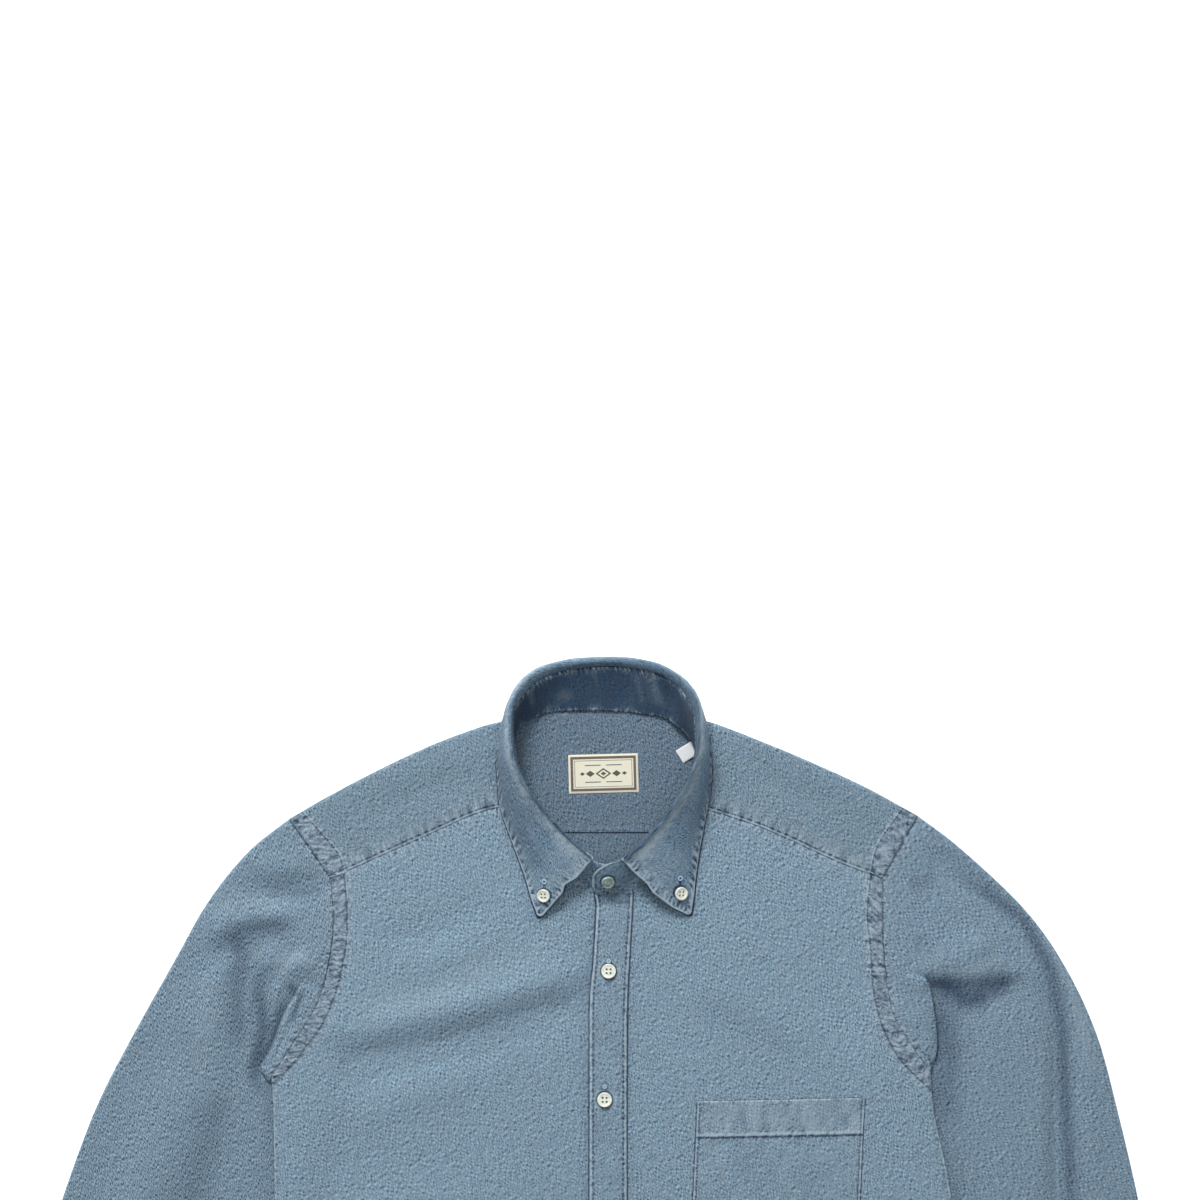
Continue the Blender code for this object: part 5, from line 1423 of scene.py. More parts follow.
def stand(sewing):
    """The band round the neck, from the under end to the buttoned over end, and its button's spot and
    normal."""
    line = smooth_points(stand_stations(), 400)
    line = at_shares(line, graded(lengths_along(line)[-1], 0.6, 1.3, 5.0))
    share = graded(26, 0.55, 1.3, 4.0)
    feet, tops = line[:, :3], line[:, 3:]
    grid = feet[:, None] + share[None, :, None] * (tops - feet)[:, None]
    down, up_left, start, end = edge_distance(grid)
    bulge = np.sin(np.pi * share)[None] * 0.8
    normal = facing(grid, (0, -0.6, 0.8), at=(-12, 8))
    teeth = 0.8 * np.sin(2 * math.pi * (start / 2.9 + 0.5 * noise(start / 9, up_left / 9, 78)))
    ridge_top = (teeth + 0.4 * pucker(start, up_left, 71)) * bell(up_left, 4)
    ridge_foot = pucker(start * 1.3, down, 73) * bell(down, 4)
    grid = grid + normal * (bulge + 0.2 * (ridge_top + ridge_foot)
                            + 0.3 * noise(start / 9, down / 30, 75))[..., None]
    finish = Finish(grid.shape[:2])
    front_end = bell(end, 40)
    finish.stitched(start, up_left + 5, 12)
    finish.stitched(start + 700, down + 2, 7)
    finish.stitched(down + 900, end, 5)
    finish.edged(np.minimum(np.minimum(down, up_left) + 9 * (1 - front_end), end) - 0.8, 2.2)
    middle = normals_of(grid)
    middle = middle if np.sum(middle * normal) > 0 else -middle
    late = grid.shape[0] * 3 // 4
    row = int(grid.shape[1] * 0.42)
    index = late + int(np.argmin(np.abs(grid[late:-4, row, 0] - 1.0)))
    away = np.linalg.norm(grid - grid[index, row], axis=2)
    # Painted shadow: a dark ring round the pearl button, and soft painted shade round it below.
    finish.covered(away - SMALL_BUTTON_RADIUS)
    finish.wear_and_shading = (0.45 * ridge_top + 0.3 * ridge_foot - 0.1 + 0.3 * bell(up_left, 5)
                   + 0.6 * front_end * bell(np.minimum(up_left, end), 1.6)
                   + 0.25 * bell(down, 3.5) - 0.3 * bell(away, 8)
                   + 0.3 * noise(start / 12, down / 14, 76) + 0.15 * noise(start / 4, down / 25, 77))
    for points, ways in (inset_line(grid, middle, 2.2), inset_line(grid, middle, 1.6, last=False)):
        for way in (1, -1):
            sewing.add(points, COLLAR_CLOTH / 2 + 0.05, ways * way)
    outer = grid + middle * COLLAR_CLOTH / 2
    uv = np.dstack([start, down])
    free = np.minimum(np.minimum(down, up_left), np.minimum(start, end))
    piece = shell("stand_cloth", outer, COLLAR_CLOTH, middle, uv, finish, "collar", "stand",
                  free_edge=free)
    return piece, (grid[index, row], middle[index, row])


def leaf_stations():
    stations = []
    for side, sign in (("right", -1), ("left", 1)):
        rows = np.array(LEAF[side], float)
        tops = stand_rows(side)[2:, 2:]
        along = np.gradient(rows[:, :2], axis=0)
        run_lengths = lengths_along(rows[:, :3])
        shares = run_lengths / run_lengths[-1]
        run = []
        for index, (rx, ry, rz, ex, ey, over) in enumerate(LEAF[side]):
            top = at_shares(tops, [shares[index]])[0]
            if side == "left":
                top[2] += np.interp(top[0], [row[2] for row in STAND[2:6]], OVER_END_RAISED[1:] + (0,))
            ridge = np.array([rx, ry, rz])
            rest = 0.0 if index >= ON_TABLE_FROM else float(cloth_top(np.array(ex), np.array(ey)))
            edge = np.array([ex, ey, rest + over])
            start = top + LEAF_START * (ridge - top) / np.linalg.norm(ridge - top)
            away = np.array([sign * along[index][1], -sign * along[index][0], 0.0])
            away /= np.linalg.norm(away)
            under = LEAF_UNDER[index]
            fall = ridge + 2.0 * away - (0, 0, 3.0)
            middle = ridge + 0.45 * (edge - ridge) + 1.8 * away
            low = ridge + 0.76 * (edge - ridge) + 1.0 * away
            middle += under * (ridge + 2.0 * away - (0, 0, 0.55 * rz) - middle)
            low += under * (ridge - 2.5 * away - (0, 0, rz - 1.6) - low)
            run.append(np.concatenate([start, ridge, fall, middle, low, edge]))
        stations.append(np.array(run))
    return joined(stations[0], stations[1][::-1])


def leaf(sewing):
    """The turned-down leaf with its two button-down points."""
    stations = smooth_points(leaf_stations(), 420)
    edge_run = lengths_along(stations[:, 15:])[-1]
    stations = at_shares(stations, graded(edge_run, 0.6, 1.25, 7.0))
    depth_shares = graded(130, 0.6, 1.6, 6.5)
    depth_shares = depth_shares[len(depth_shares) // 2:] - depth_shares[len(depth_shares) // 2]
    depth_shares /= depth_shares[-1]
    sections = [at_shares(smooth_points(row.reshape(6, 3), 120), depth_shares) for row in stations]
    grid = np.stack(sections)
    down, up, start, end = edge_distance(grid)
    for side, from_lead, row in (("right", start, 0), ("left", end, -1)):
        share = np.clip((down - FOLD_AT) / (down[row, -1] - FOLD_AT), 0, 1)
        bulge = np.interp(share, *zip(*LEAD_BULGE[side])) * (1 - ease(from_lead / 18)) * (share > 0)
        grid[..., :2] += bulge[..., None] * np.array(LEAD_WAY[side])
    for row, radius in zip((0, -1), CORNER_RADII):
        rounded_corner(grid, row, radius)
    down, up, start, end = edge_distance(grid)
    lead = np.minimum(start, end)
    edge = np.minimum(up, lead)
    along = np.where(up < lead, start, down + np.where(start < end, 700, 900))
    ridge = pucker(along, edge, np.where(up < lead, 81.0, 85.0))
    band = bell(edge - 2.2, 3.4)
    crumple = 0.3 * noise(start / 14, down / 17, 82) + 0.14 * noise(start / 5, down / 6, 83)
    lift = crumple * ease(edge / 8) + 0.3 * ridge * band - ditch(np.abs(edge - LEAF_STITCH_IN), 0.16, 0.7)
    way = facing(grid, (0, 0, 1), at=(60, len(depth_shares) - 12))
    grid = grid + way * lift[..., None]
    finish = Finish(down.shape)
    finish.stitched(along * 0.65, edge, 13)
    finish.edged(edge - 0.6)
    ticks = np.sin(2 * math.pi * (along / np.where(up < lead, 6.6, 3.9)
                                  + 0.45 * noise(along / 9, edge / 7, 87)))
    ticks *= np.clip(0.8 + 0.7 * noise(along / 12, edge / 9, 88), 0.2, 1.3) * bell(edge - 3.4, 3.4)
    behind = bell(start - end, 150)
    fold = (1.1 - 0.85 * behind) * bell(down - FOLD_AT - 2.8, 5.0)
    inner = ease((FOLD_AT + 0.5 - down) / 3)
    # Painted shadow round each point button and its buttonhole, and soft painted shade round the button.
    for bx, by in POINT_BUTTONS.values():
        away = np.hypot(grid[..., 0] - bx, grid[..., 1] - by) + 40 * (down < 20)
        finish.covered(away - SMALL_BUTTON_RADIUS + 0.1)
        slit = np.hypot(grid[..., 0] - bx, np.maximum(0, np.abs(grid[..., 1] - by - POINT_HOLE_SHIFT) - 5.5))
        finish.covered(slit + 0.2 + 40 * (down < 20))
        finish.wear_and_shading -= 0.3 * bell(away, 7)
    # The leaf's band inside the neck, between its seam and its fold, is darkened as painted shade.
    finish.wear_and_shading += (0.35 * ridge * bell(edge - 3, 4.5) + 1.8 * ticks
                    + 2.2 * bell(np.maximum(edge - 0.7, 0), 0.8)
                    + fold * (1 + 0.8 * noise(start / 2.6, down / 3, 84)) - (0.7 - 0.25 * behind) * inner
                    + 0.25 * noise(start / 12, down / 9, 86)
                    + 0.35 * bell(lead, 30) * ease((down - 10) / 6))
    finish.grey = 0.15 + 0.5 * band
    # Deeper blue on the wearer's left leaf as painted shade, and on the band inside the neck.
    finish.deep = 0.3 + 0.12 * (end < start) + 0.5 * inner * (1 - behind) - 0.25 * bell(lead,
                                                                                        34) * ease((down
                                                                                                    - 10) / 6)
    way = facing(grid, (0, 0, 1), at=(60, len(depth_shares) - 12))
    turned_grid, turned_way = grid.transpose(1, 0, 2), way.transpose(1, 0, 2)
    for points, ways in (inset_line(grid, way, LEAF_STITCH_IN),
                         inset_line(turned_grid, turned_way, LEAF_STITCH_IN, last=False),
                         inset_line(turned_grid, turned_way, LEAF_STITCH_IN)):
        sewing.add(points[6:-6], COLLAR_CLOTH / 2 + 0.03, ways[6:-6])
    outer = grid + way * COLLAR_CLOTH / 2
    free = np.minimum(np.minimum(down, up), lead)
    piece = shell("leaf_cloth", outer, COLLAR_CLOTH, way, np.dstack([start, down]), finish,
                  "collar", "collar", free_edge=free)
    return piece, (grid, way)


# ---------------------------------------------------------------- label and tab
def neck_label():
    turn = math.radians(1.5)
    along, up = np.array([math.cos(turn), math.sin(turn)]), np.array([-math.sin(turn), math.cos(turn)])
    s, t = np.meshgrid(np.linspace(-0.5, 0.5, 45), np.linspace(-0.5, 0.5, 27), indexing="ij")
    plan = LABEL_CENTRE + s[..., None] * LABEL_WIDTH * along + t[..., None] * LABEL_HEIGHT * up
    edge = np.minimum((0.5 - np.abs(s)) * LABEL_WIDTH, (0.5 - np.abs(t)) * LABEL_HEIGHT)
    z = CLOTH + 0.95 + 0.12 * noise(s * 7, t * 4, 91) - 0.25 * ease((1.6 - edge) / 1.6)
    grid = np.dstack([plan, z])
    uv = np.dstack([s * LABEL_WIDTH, t * LABEL_HEIGHT])
    return shell("woven_label_cloth", grid, 0.6, facing(grid, (0, 0, 1)), uv, Finish(s.shape),
                 "label", "label", free_edge=edge)


def size_tab():
    turn = math.radians(212)
    away = np.array([math.cos(turn), math.sin(turn)])
    across = np.array([-away[1], away[0]])
    root = np.array([67.6, -68.5])
    s, t = np.meshgrid(np.linspace(0, 1, 25), np.linspace(-0.5, 0.5, 17), indexing="ij")
    plan = root + s[..., None] * TAB_LENGTH * away + t[..., None] * TAB_WIDTH * across
    z = CLOTH + 0.95 + 1.8 * (1 - s) ** 2 + 0.15 * np.sin(math.pi * s)
    grid = np.dstack([plan, z])
    edge = np.minimum((1 - s) * TAB_LENGTH, (0.5 - np.abs(t)) * TAB_WIDTH)
    return shell("size_tab_cloth", grid, 0.7, facing(grid, (0, 0, 1)),
                 np.dstack([s * TAB_LENGTH, t * TAB_WIDTH]),
                 Finish(s.shape), "tape", "tape", free_edge=edge)


# ---------------------------------------------------------------- buttons
def deselect():
    if bpy.context.object and bpy.context.object.mode != "OBJECT":
        bpy.ops.object.mode_set(mode="OBJECT")
    bpy.ops.object.select_all(action="DESELECT")


def pick_faces(piece, test):
    """Selects, for edit mode, only the faces that pass the test."""
    mesh = piece.data
    bpy.ops.object.mode_set(mode="OBJECT")
    for group in (mesh.vertices, mesh.edges, mesh.polygons):
        group.foreach_set("select", [False] * len(group))
    for face in mesh.polygons:
        face.select = bool(test(face))
    bpy.ops.object.mode_set(mode="EDIT")
    bpy.ops.mesh.select_mode(type="FACE")


def apply_all(piece):
    bpy.context.view_layer.objects.active = piece
    for modifier in list(piece.modifiers):
        bpy.ops.object.modifier_apply(modifier=modifier.name)


def rod(vertices, radius, length, x, y, z):
    """A cylinder along z, its sizes and its middle in mm."""
    deselect()
    bpy.ops.mesh.primitive_cylinder_add(vertices=vertices, radius=radius * MM, depth=length * MM,
                                        location=(x * MM, y * MM, z * MM))
    return bpy.context.object


def stepped(*steps):
    """Insets the picked faces again and again, and moves them up or down after each, in mm."""
    for inset, rise in steps:
        bpy.ops.mesh.inset(thickness=inset * MM)
        if rise:
            bpy.ops.transform.translate(value=(0, 0, rise * MM))


def dressed(piece, material):
    piece.data.materials.clear()
    piece.data.materials.append(MATERIALS[material])
    return piece


def button_master(radius, material, pearly=False):
    """A turned four-hole shirt button, face up at the origin. The pearly one has a domed middle and no
    holes."""
    piece = rod(56, radius, BUTTON_HEIGHT, 0, 0, BUTTON_HEIGHT / 2)
    bpy.ops.object.transform_apply(location=True, rotation=False, scale=False)
    bpy.ops.object.mode_set(mode="EDIT")
    pick_faces(piece, lambda face: face.normal.z > 0.9)
    sunk, raised = (-0.35, 0.18) if pearly else (-0.5, 0.05)
    stepped((0.22 * radius, 0), (0.12 * radius, sunk), (0.12 * radius, raised))
    pick_faces(piece, lambda face: face.normal.z < -0.9)
    stepped((0.3 * radius, -0.15))
    bpy.ops.object.mode_set(mode="OBJECT")
    bevel = piece.modifiers.new("rounded", "BEVEL")
    bevel.width, bevel.segments = 0.38 * MM, 3
    bevel.limit_method, bevel.angle_limit = "ANGLE", math.radians(35)
    apply_all(piece)
    if not pearly:
        angles = [math.pi / 4 + k * math.pi / 2 for k in range(4)]
        cutters = [rod(16, 0.15 * radius, 6, 0.38 * radius * math.cos(angle),
                       0.38 * radius * math.sin(angle),
                       BUTTON_HEIGHT / 2) for angle in angles]
        deselect()
        for cutter in cutters:
            cutter.select_set(True)
        bpy.context.view_layer.objects.active = cutters[0]
        bpy.ops.object.join()
        holes = bpy.context.object
        cut = piece.modifiers.new("holes", "BOOLEAN")
        cut.object, cut.operation, cut.solver = holes, "DIFFERENCE", "EXACT"
        apply_all(piece)
        bpy.data.objects.remove(holes)
    deselect()
    piece.select_set(True)
    bpy.context.view_layer.objects.active = piece
    bpy.ops.object.shade_smooth_by_angle(angle=math.radians(40))
    return dressed(piece, material)


def thread_master(radius):
    """The thread that shows in a button's holes, and the shank of thread under it."""
    piece = rod(12, 0.54 * radius, 0.7, 0, 0, 0.35)
    bpy.ops.object.transform_apply(location=True, rotation=False, scale=False)
    bpy.ops.object.mode_set(mode="EDIT")
    pick_faces(piece, lambda face: face.normal.z > 0.9)
    stepped((0.08 * radius, 0.25))
    bpy.ops.object.mode_set(mode="OBJECT")
    return dressed(piece, "dark_thread")


def buttonhole_master(length, radius):
    """A worked buttonhole: an oval ring of close stitches round a slit, along y."""
    deselect()
    bpy.ops.mesh.primitive_torus_add(major_segments=28, minor_segments=8, major_radius=radius * MM,
                                     minor_radius=SILK_RADIUS * MM)
    piece = bpy.context.object
    bpy.ops.object.mode_set(mode="EDIT")
    bpy.ops.mesh.select_mode(type="VERT")
    bpy.ops.object.mode_set(mode="OBJECT")
    for vertex in piece.data.vertices:
        vertex.select = vertex.co.y > 0.02 * MM
    bpy.ops.object.mode_set(mode="EDIT")
    stretch = length - 2 * radius - 2 * SILK_RADIUS
    bpy.ops.transform.translate(value=(0, stretch * MM, 0))
    bpy.ops.mesh.select_all(action="SELECT")
    bpy.ops.transform.translate(value=(0, -stretch / 2 * MM, 0))
    bpy.ops.transform.resize(value=(1, 1, 0.7), center_override=(0, 0, 0))
    bpy.ops.object.mode_set(mode="OBJECT")
    piece.data.shade_smooth()
    return dressed(piece, "buttonhole")


def placed(master, name, spot, normal=UP, up=None):
    """A copy of the master with its own mesh, its face along normal. Its length is along up, where
    that is given."""
    z = np.array(normal, float) / np.linalg.norm(normal)
    y = np.array((0, 1, 0) if up is None else up, float)
    if up is not None:
        z = z - np.dot(z, y) / np.dot(y, y) * y
        z /= np.linalg.norm(z)
    y = y - np.dot(y, z) * z
    y /= np.linalg.norm(y)
    x = np.cross(y, z)
    turn = Matrix(((x[0], y[0], z[0], 0), (x[1], y[1], z[1], 0), (x[2], y[2], z[2], 0), (0, 0, 0, 1)))
    mesh = master.data.copy()
    mesh.name = name
    mesh.transform(Matrix.Translation(Vector((np.asarray(spot, float) + ORIGIN) * MM)) @ turn)
    return in_scene(name, mesh)


def nearest_on(grid, normal, x, y, rows):
    """Point and normal of a surface over this plan point, searched in these rows."""
    away = np.hypot(grid[:, rows, 0] - x, grid[:, rows, 1] - y)
    i, j = np.unravel_index(np.argmin(away), away.shape)
    j += rows.start
    return grid[i, j], normal[i, j]


def buttons(leaf_surface, stand_spot):
    """Every button with its thread and buttonhole. Each stands for its node."""
    big, small = (button_master(radius, "button") for radius in (BUTTON_RADIUS, SMALL_BUTTON_RADIUS))
    pearl = button_master(SMALL_BUTTON_RADIUS, "pearl", pearly=True)
    big_thread, small_thread = (thread_master(radius) for radius in (BUTTON_RADIUS, SMALL_BUTTON_RADIUS))
    hole, small_hole = (buttonhole_master(*sizes) for sizes in (FRONT_HOLE, POINT_HOLE))
    on_collar = COLLAR_CLOTH / 2 + 0.05
    made = []

    def set_in(node, master, thread, spot, normal=UP, slit=None, ends=None):
        sunk = np.asarray(spot) + 0.35 * np.asarray(normal)
        group = [placed(master, f"{node}_shell", sunk, normal)]
        if thread:
            group.append(placed(thread, f"{node}_thread", sunk, normal))
        if slit:
            low, high = np.array(ends)
            group.append(placed(slit, f"{node}_hole", (low + high) / 2, normal, high - low))
        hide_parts(node)
        made.extend(group)

    def on_placket(x, y, lift):
        return x, y, float(placket_height(np.array(x), np.array(y))) + lift

    for count, (x, y) in enumerate(button_spots()):
        middle = y + FRONT_HOLE_SHIFTS[count]
        set_in(f"button_front_{count + 1}", big, big_thread, on_placket(x, y, -0.25), UP, hole,
               [on_placket(x, end, 0.45) for end in (middle - 8, middle + 8)])
    columns = leaf_surface[0].shape[1]
    rows = slice(columns // 2, columns - 2)
    for side, (x, y) in POINT_BUTTONS.items():
        spot, normal = nearest_on(*leaf_surface, x, y, rows)
        ends = [nearest_on(*leaf_surface, x, y + POINT_HOLE_SHIFT + way, rows) for way in (-6, 6)]
        set_in(f"button_collar_point_{side}", small, small_thread, spot + normal * on_collar, normal,
               small_hole,
               [point + out * (COLLAR_CLOTH / 2 + 0.5) for point, out in ends])
    spot, normal = stand_spot
    set_in("button_collar_stand", pearl, None, spot + normal * on_collar, normal)
    for side in SIDES:
        inner, outer, _, down = cuff_frame(side)
        x, y = inner + 0.43 * (outer - inner) + 0.5 * CUFF_LENGTH * down
        set_in(f"button_cuff_{side}", small, small_thread, (x, y, CUFF_TOP))
    for master in (big, small, pearl, big_thread, small_thread, hole, small_hole):
        bpy.data.objects.remove(master)
    return made


# ---------------------------------------------------------------- materials
def linear(srgb):
    return [((c + 0.055) / 1.055) ** 2.4 if c > 0.04045 else c / 12.92 for c in srgb] + [1.0]


def add(tree, kind, inputs=None, **settings):
    """Adds a node, links the inputs that are sockets and sets the others."""
    made = tree.nodes.new(kind)
    for key, value in settings.items():
        setattr(made, key, value)
    for key, value in (inputs or {}).items():
        if isinstance(value, bpy.types.NodeSocket):
            tree.links.new(value, made.inputs[key])
        else:
            made.inputs[key].default_value = value
    return made


def maths(tree, operation, a, b=0.0, c=0.0):
    return add(tree, "ShaderNodeMath", {0: a, 1: b, 2: c}, operation=operation).outputs[0]


def new_group(name, inputs, outputs):
    group = bpy.data.node_groups.new(name, "ShaderNodeTree")
    for title, kind in inputs:
        group.interface.new_socket(name=title, in_out="INPUT", socket_type=f"NodeSocket{kind}")
    for title, kind in outputs:
        group.interface.new_socket(name=title, in_out="OUTPUT", socket_type=f"NodeSocket{kind}")
    return group, group.nodes.new("NodeGroupInput"), group.nodes.new("NodeGroupOutput")


def streaks(tree, vector, long, wide, degrees, detail=2.0, shift=0.0):
    """Noise drawn out along a direction: sizes in mm of the cloth."""
    mapped = add(tree, "ShaderNodeMapping", {"Vector": vector, "Location": (shift, shift, 0),
                                             "Rotation": (0, 0, math.radians(degrees)),
                                             "Scale": (long, wide, 1)},
                 vector_type="TEXTURE")
    return add(tree, "ShaderNodeTexNoise", {"Vector": mapped.outputs[0], "Scale": 1.0, "Detail": detail,
                                            "Roughness": 0.55}, noise_dimensions="2D").outputs["Fac"]


def grain_group():
    """Heathered chambray: short leaning flecks, faint slubs up and down, and washed patches."""
    group, enter, leave = new_group("chambray_grain", [("Cloth", "Vector")],
                                    [("Fleck", "Float"), ("Patch", "Float")])
    cloth = enter.outputs["Cloth"]
    lean = streaks(group, cloth, 2.3, 0.38, -57, detail=1.0)
    lean_long = streaks(group, cloth, 5.5, 0.8, -60, shift=3.7)
    upright = streaks(group, cloth, 18, 0.6, 90, shift=9.1)
    level = streaks(group, cloth, 12, 0.7, 0, shift=5.3)
    speck = streaks(group, cloth, 0.66, 0.5, 90, detail=1.0, shift=1.9)
    fleck = maths(group, "MULTIPLY_ADD", lean, 0.62, 0.0)
    for part, weight in ((lean_long, 0.05), (upright, 0.08), (level, 0.03), (speck, 0.22)):
        fleck = maths(group, "MULTIPLY_ADD", part, weight, fleck)
    patch = streaks(group, cloth, 11, 6, -50, detail=3.0, shift=21.0)
    group.links.new(fleck, leave.inputs["Fleck"])
    group.links.new(patch, leave.inputs["Patch"])
    return group


def seam_group():
    """Along seams: faded puckers beside the stitching, a faded light line along turned edges, dark dashes
    along sunk stitch lines, and a painted shadow line beside the edge of anything lying on the cloth."""
    group, enter, leave = new_group("seam_wear_and_shadow_lines", [("Seam", "Vector"), ("Lines", "Vector")],
                                    [("Seam_wear_and_shadow", "Float")])
    seam = enter.outputs["Seam"]
    place = add(group, "ShaderNodeSeparateXYZ", {"Vector": seam}).outputs
    lines = add(group, "ShaderNodeSeparateXYZ", {"Vector": enter.outputs["Lines"]}).outputs

    def near(value, close, far):
        value = maths(group, "ABSOLUTE", value)
        return add(group, "ShaderNodeMapRange",
                   {"Value": value, "From Min": close, "From Max": far, "To Min": 1.0,
                                                 "To Max": 0.0}, interpolation_type="SMOOTHSTEP").outputs[0]

    fine = streaks(group, seam, 0.95, 0.5, 0, shift=2.2)
    broad = streaks(group, seam, 2.7, 1.1, 8, shift=6.1)
    ridge = maths(group, "MULTIPLY_ADD", fine, 0.5, maths(group, "MULTIPLY_ADD", broad, 0.5, -0.5))
    wear_plus_shading = maths(group, "MULTIPLY", maths(group, "MULTIPLY", ridge, 10.0), near(place["Y"], 0.15, 1.0))
    dashes = maths(group, "MULTIPLY_ADD", maths(group, "SINE", maths(group, "MULTIPLY", place["X"], 2.6)),
                   -1.0, -1.15)
    edge_light = maths(group, "MULTIPLY_ADD", broad, 1.6, 0.35)
    wear_plus_shading = maths(group, "MULTIPLY_ADD", near(lines["X"], 0.75, 1.5), edge_light, wear_plus_shading)
    wear_plus_shading = maths(group, "MULTIPLY_ADD", near(lines["Y"], 0.3, 0.95), dashes, wear_plus_shading)
    wear_plus_shading = maths(group, "MULTIPLY_ADD", near(lines["Z"], 0.5, 1.4), -1.9, wear_plus_shading)
    group.links.new(wear_plus_shading, leave.inputs["Seam_wear_and_shadow"])
    return group


def blend_colours(tree, kind, factor, a, b):
    mixed = add(tree, "ShaderNodeMix", data_type="RGBA", blend_type=kind)
    for socket, value in ((mixed.inputs[0], factor), (mixed.inputs[6], a), (mixed.inputs[7], b)):
        if isinstance(value, bpy.types.NodeSocket):
            tree.links.new(value, socket)
        else:
            socket.default_value = value
    return mixed.outputs[2]


# Mixed in where the cloth is faded light along edges, seams and ridges, and for painted highlights on the
# folds.
WEAR_AND_HIGHLIGHT_TONE = (0.675, 0.75, 0.80)
CREASE_SHADE = (0.485, 0.51, 0.584)     # multiplies the cloth in its darkest creases
GREYED = (0.52, 0.565, 0.61)
UNWORN = (0.27, 0.37, 0.47)
BLUER = (0.42, 0.57, 0.69)
GREYER = (0.53, 0.575, 0.60)


def chambray_colour_group():
    """Colour of the cloth from its grain and its finish: faded light, greyed or deep, with painted shade
    multiplied in and painted highlights mixed in.
    """
    group, enter, leave = new_group(
        "chambray_colour_and_shade",
        [("Fleck", "Float"), ("Patch", "Float"), ("Seam_wear_and_shadow", "Float"), ("Finish", "Vector"), ("Dark", "Color"),
         ("Light", "Color")],
        [("Color", "Color")])
    spread = add(group, "ShaderNodeMapRange",
                 {"Value": enter.outputs["Fleck"], "From Min": 0.44, "From Max": 0.56})
    base = blend_colours(group, "MIX", spread.outputs[0], enter.outputs["Dark"], enter.outputs["Light"])
    patch = add(group, "ShaderNodeMapRange",
                {"Value": enter.outputs["Patch"], "From Min": 0.36, "From Max": 0.64})
    tint = blend_colours(group, "MIX", patch.outputs[0], linear(BLUER), linear(GREYER))
    base = blend_colours(group, "MIX", 0.12, base, tint)
    parts = add(group, "ShaderNodeSeparateXYZ", {"Vector": enter.outputs["Finish"]})
    grey = add(group, "ShaderNodeClamp", {"Value": maths(group, "MULTIPLY", parts.outputs["Y"], 0.36)})
    base = blend_colours(group, "MIX", grey.outputs[0], base, linear(GREYED))
    deep = add(group, "ShaderNodeClamp", {"Value": maths(group, "MULTIPLY", parts.outputs["Z"], 0.75)})
    base = blend_colours(group, "MIX", deep.outputs[0], base, linear(UNWORN))
    wear_plus_shading = maths(group, "ADD", parts.outputs["X"], enter.outputs["Seam_wear_and_shadow"])
    light = maths(group, "MULTIPLY", wear_plus_shading, maths(group, "MULTIPLY_ADD", spread.outputs[0], 0.5, 0.35))
    light = add(group, "ShaderNodeClamp", {"Value": light, "Max": 0.88})
    dark = add(group, "ShaderNodeClamp", {"Value": maths(group, "MULTIPLY", wear_plus_shading, -0.55)})
    base = blend_colours(group, "MIX", light.outputs[0], base, linear(WEAR_AND_HIGHLIGHT_TONE))
    base = blend_colours(group, "MULTIPLY", dark.outputs[0], base, linear(CREASE_SHADE))
    group.links.new(base, leave.inputs["Color"])
    return group


def new_material(name):
    material = bpy.data.materials.new(name)
    material.use_nodes = True
    tree = material.node_tree
    return material, tree, tree.nodes["Principled BSDF"]


def coat(tree, shader, colour, roughness, height=None, strength=0.4, depth=0.0003):
    """Links the colour, and the relief of a height where there is one."""
    tree.links.new(colour, shader.inputs["Base Color"])
    shader.inputs["Roughness"].default_value = roughness
    if height is not None:
        relief = add(tree, "ShaderNodeBump", {"Height": height, "Strength": strength, "Distance": depth})
        tree.links.new(relief.outputs["Normal"], shader.inputs["Normal"])


def chambray(name, tone, groups, contrast=0.51, bump=0.6):
    """Washed chambray whose middle colour is tone, in sRGB. Its flecks are greyer than that when light."""
    material, tree, shader = new_material(name)
    cloth = add(tree, "ShaderNodeUVMap", uv_map="cloth")
    seam = add(tree, "ShaderNodeUVMap", uv_map="seam")
    finish = add(tree, "ShaderNodeAttribute", attribute_name="finish", attribute_type="GEOMETRY")
    lines = add(tree, "ShaderNodeAttribute", attribute_name="lines", attribute_type="GEOMETRY")
    threads, puckers, colour = (add(tree, "ShaderNodeGroup", node_tree=group) for group in groups)
    tree.links.new(cloth.outputs["UV"], threads.inputs["Cloth"])
    tree.links.new(seam.outputs["UV"], puckers.inputs["Seam"])
    tree.links.new(lines.outputs["Vector"], puckers.inputs["Lines"])
    swing = contrast * sum(tone) / 3
    colour.inputs["Dark"].default_value = linear([max(0.0, c - swing) for c in tone])
    colour.inputs["Light"].default_value = linear([c + swing for c in tone])
    tree.links.new(threads.outputs["Fleck"], colour.inputs["Fleck"])
    tree.links.new(threads.outputs["Patch"], colour.inputs["Patch"])
    tree.links.new(puckers.outputs["Seam_wear_and_shadow"], colour.inputs["Seam_wear_and_shadow"])
    tree.links.new(finish.outputs["Vector"], colour.inputs["Finish"])
    height = maths(tree, "MULTIPLY_ADD", puckers.outputs["Seam_wear_and_shadow"], 0.05, threads.outputs["Fleck"])
    coat(tree, shader, colour.outputs["Color"], 0.88, height, bump, 0.0022)
    shader.inputs["Specular IOR Level"].default_value = 0.2
    shader.inputs["Sheen Weight"].default_value = 0.06
    shader.inputs["Sheen Roughness"].default_value = 0.5
    return material


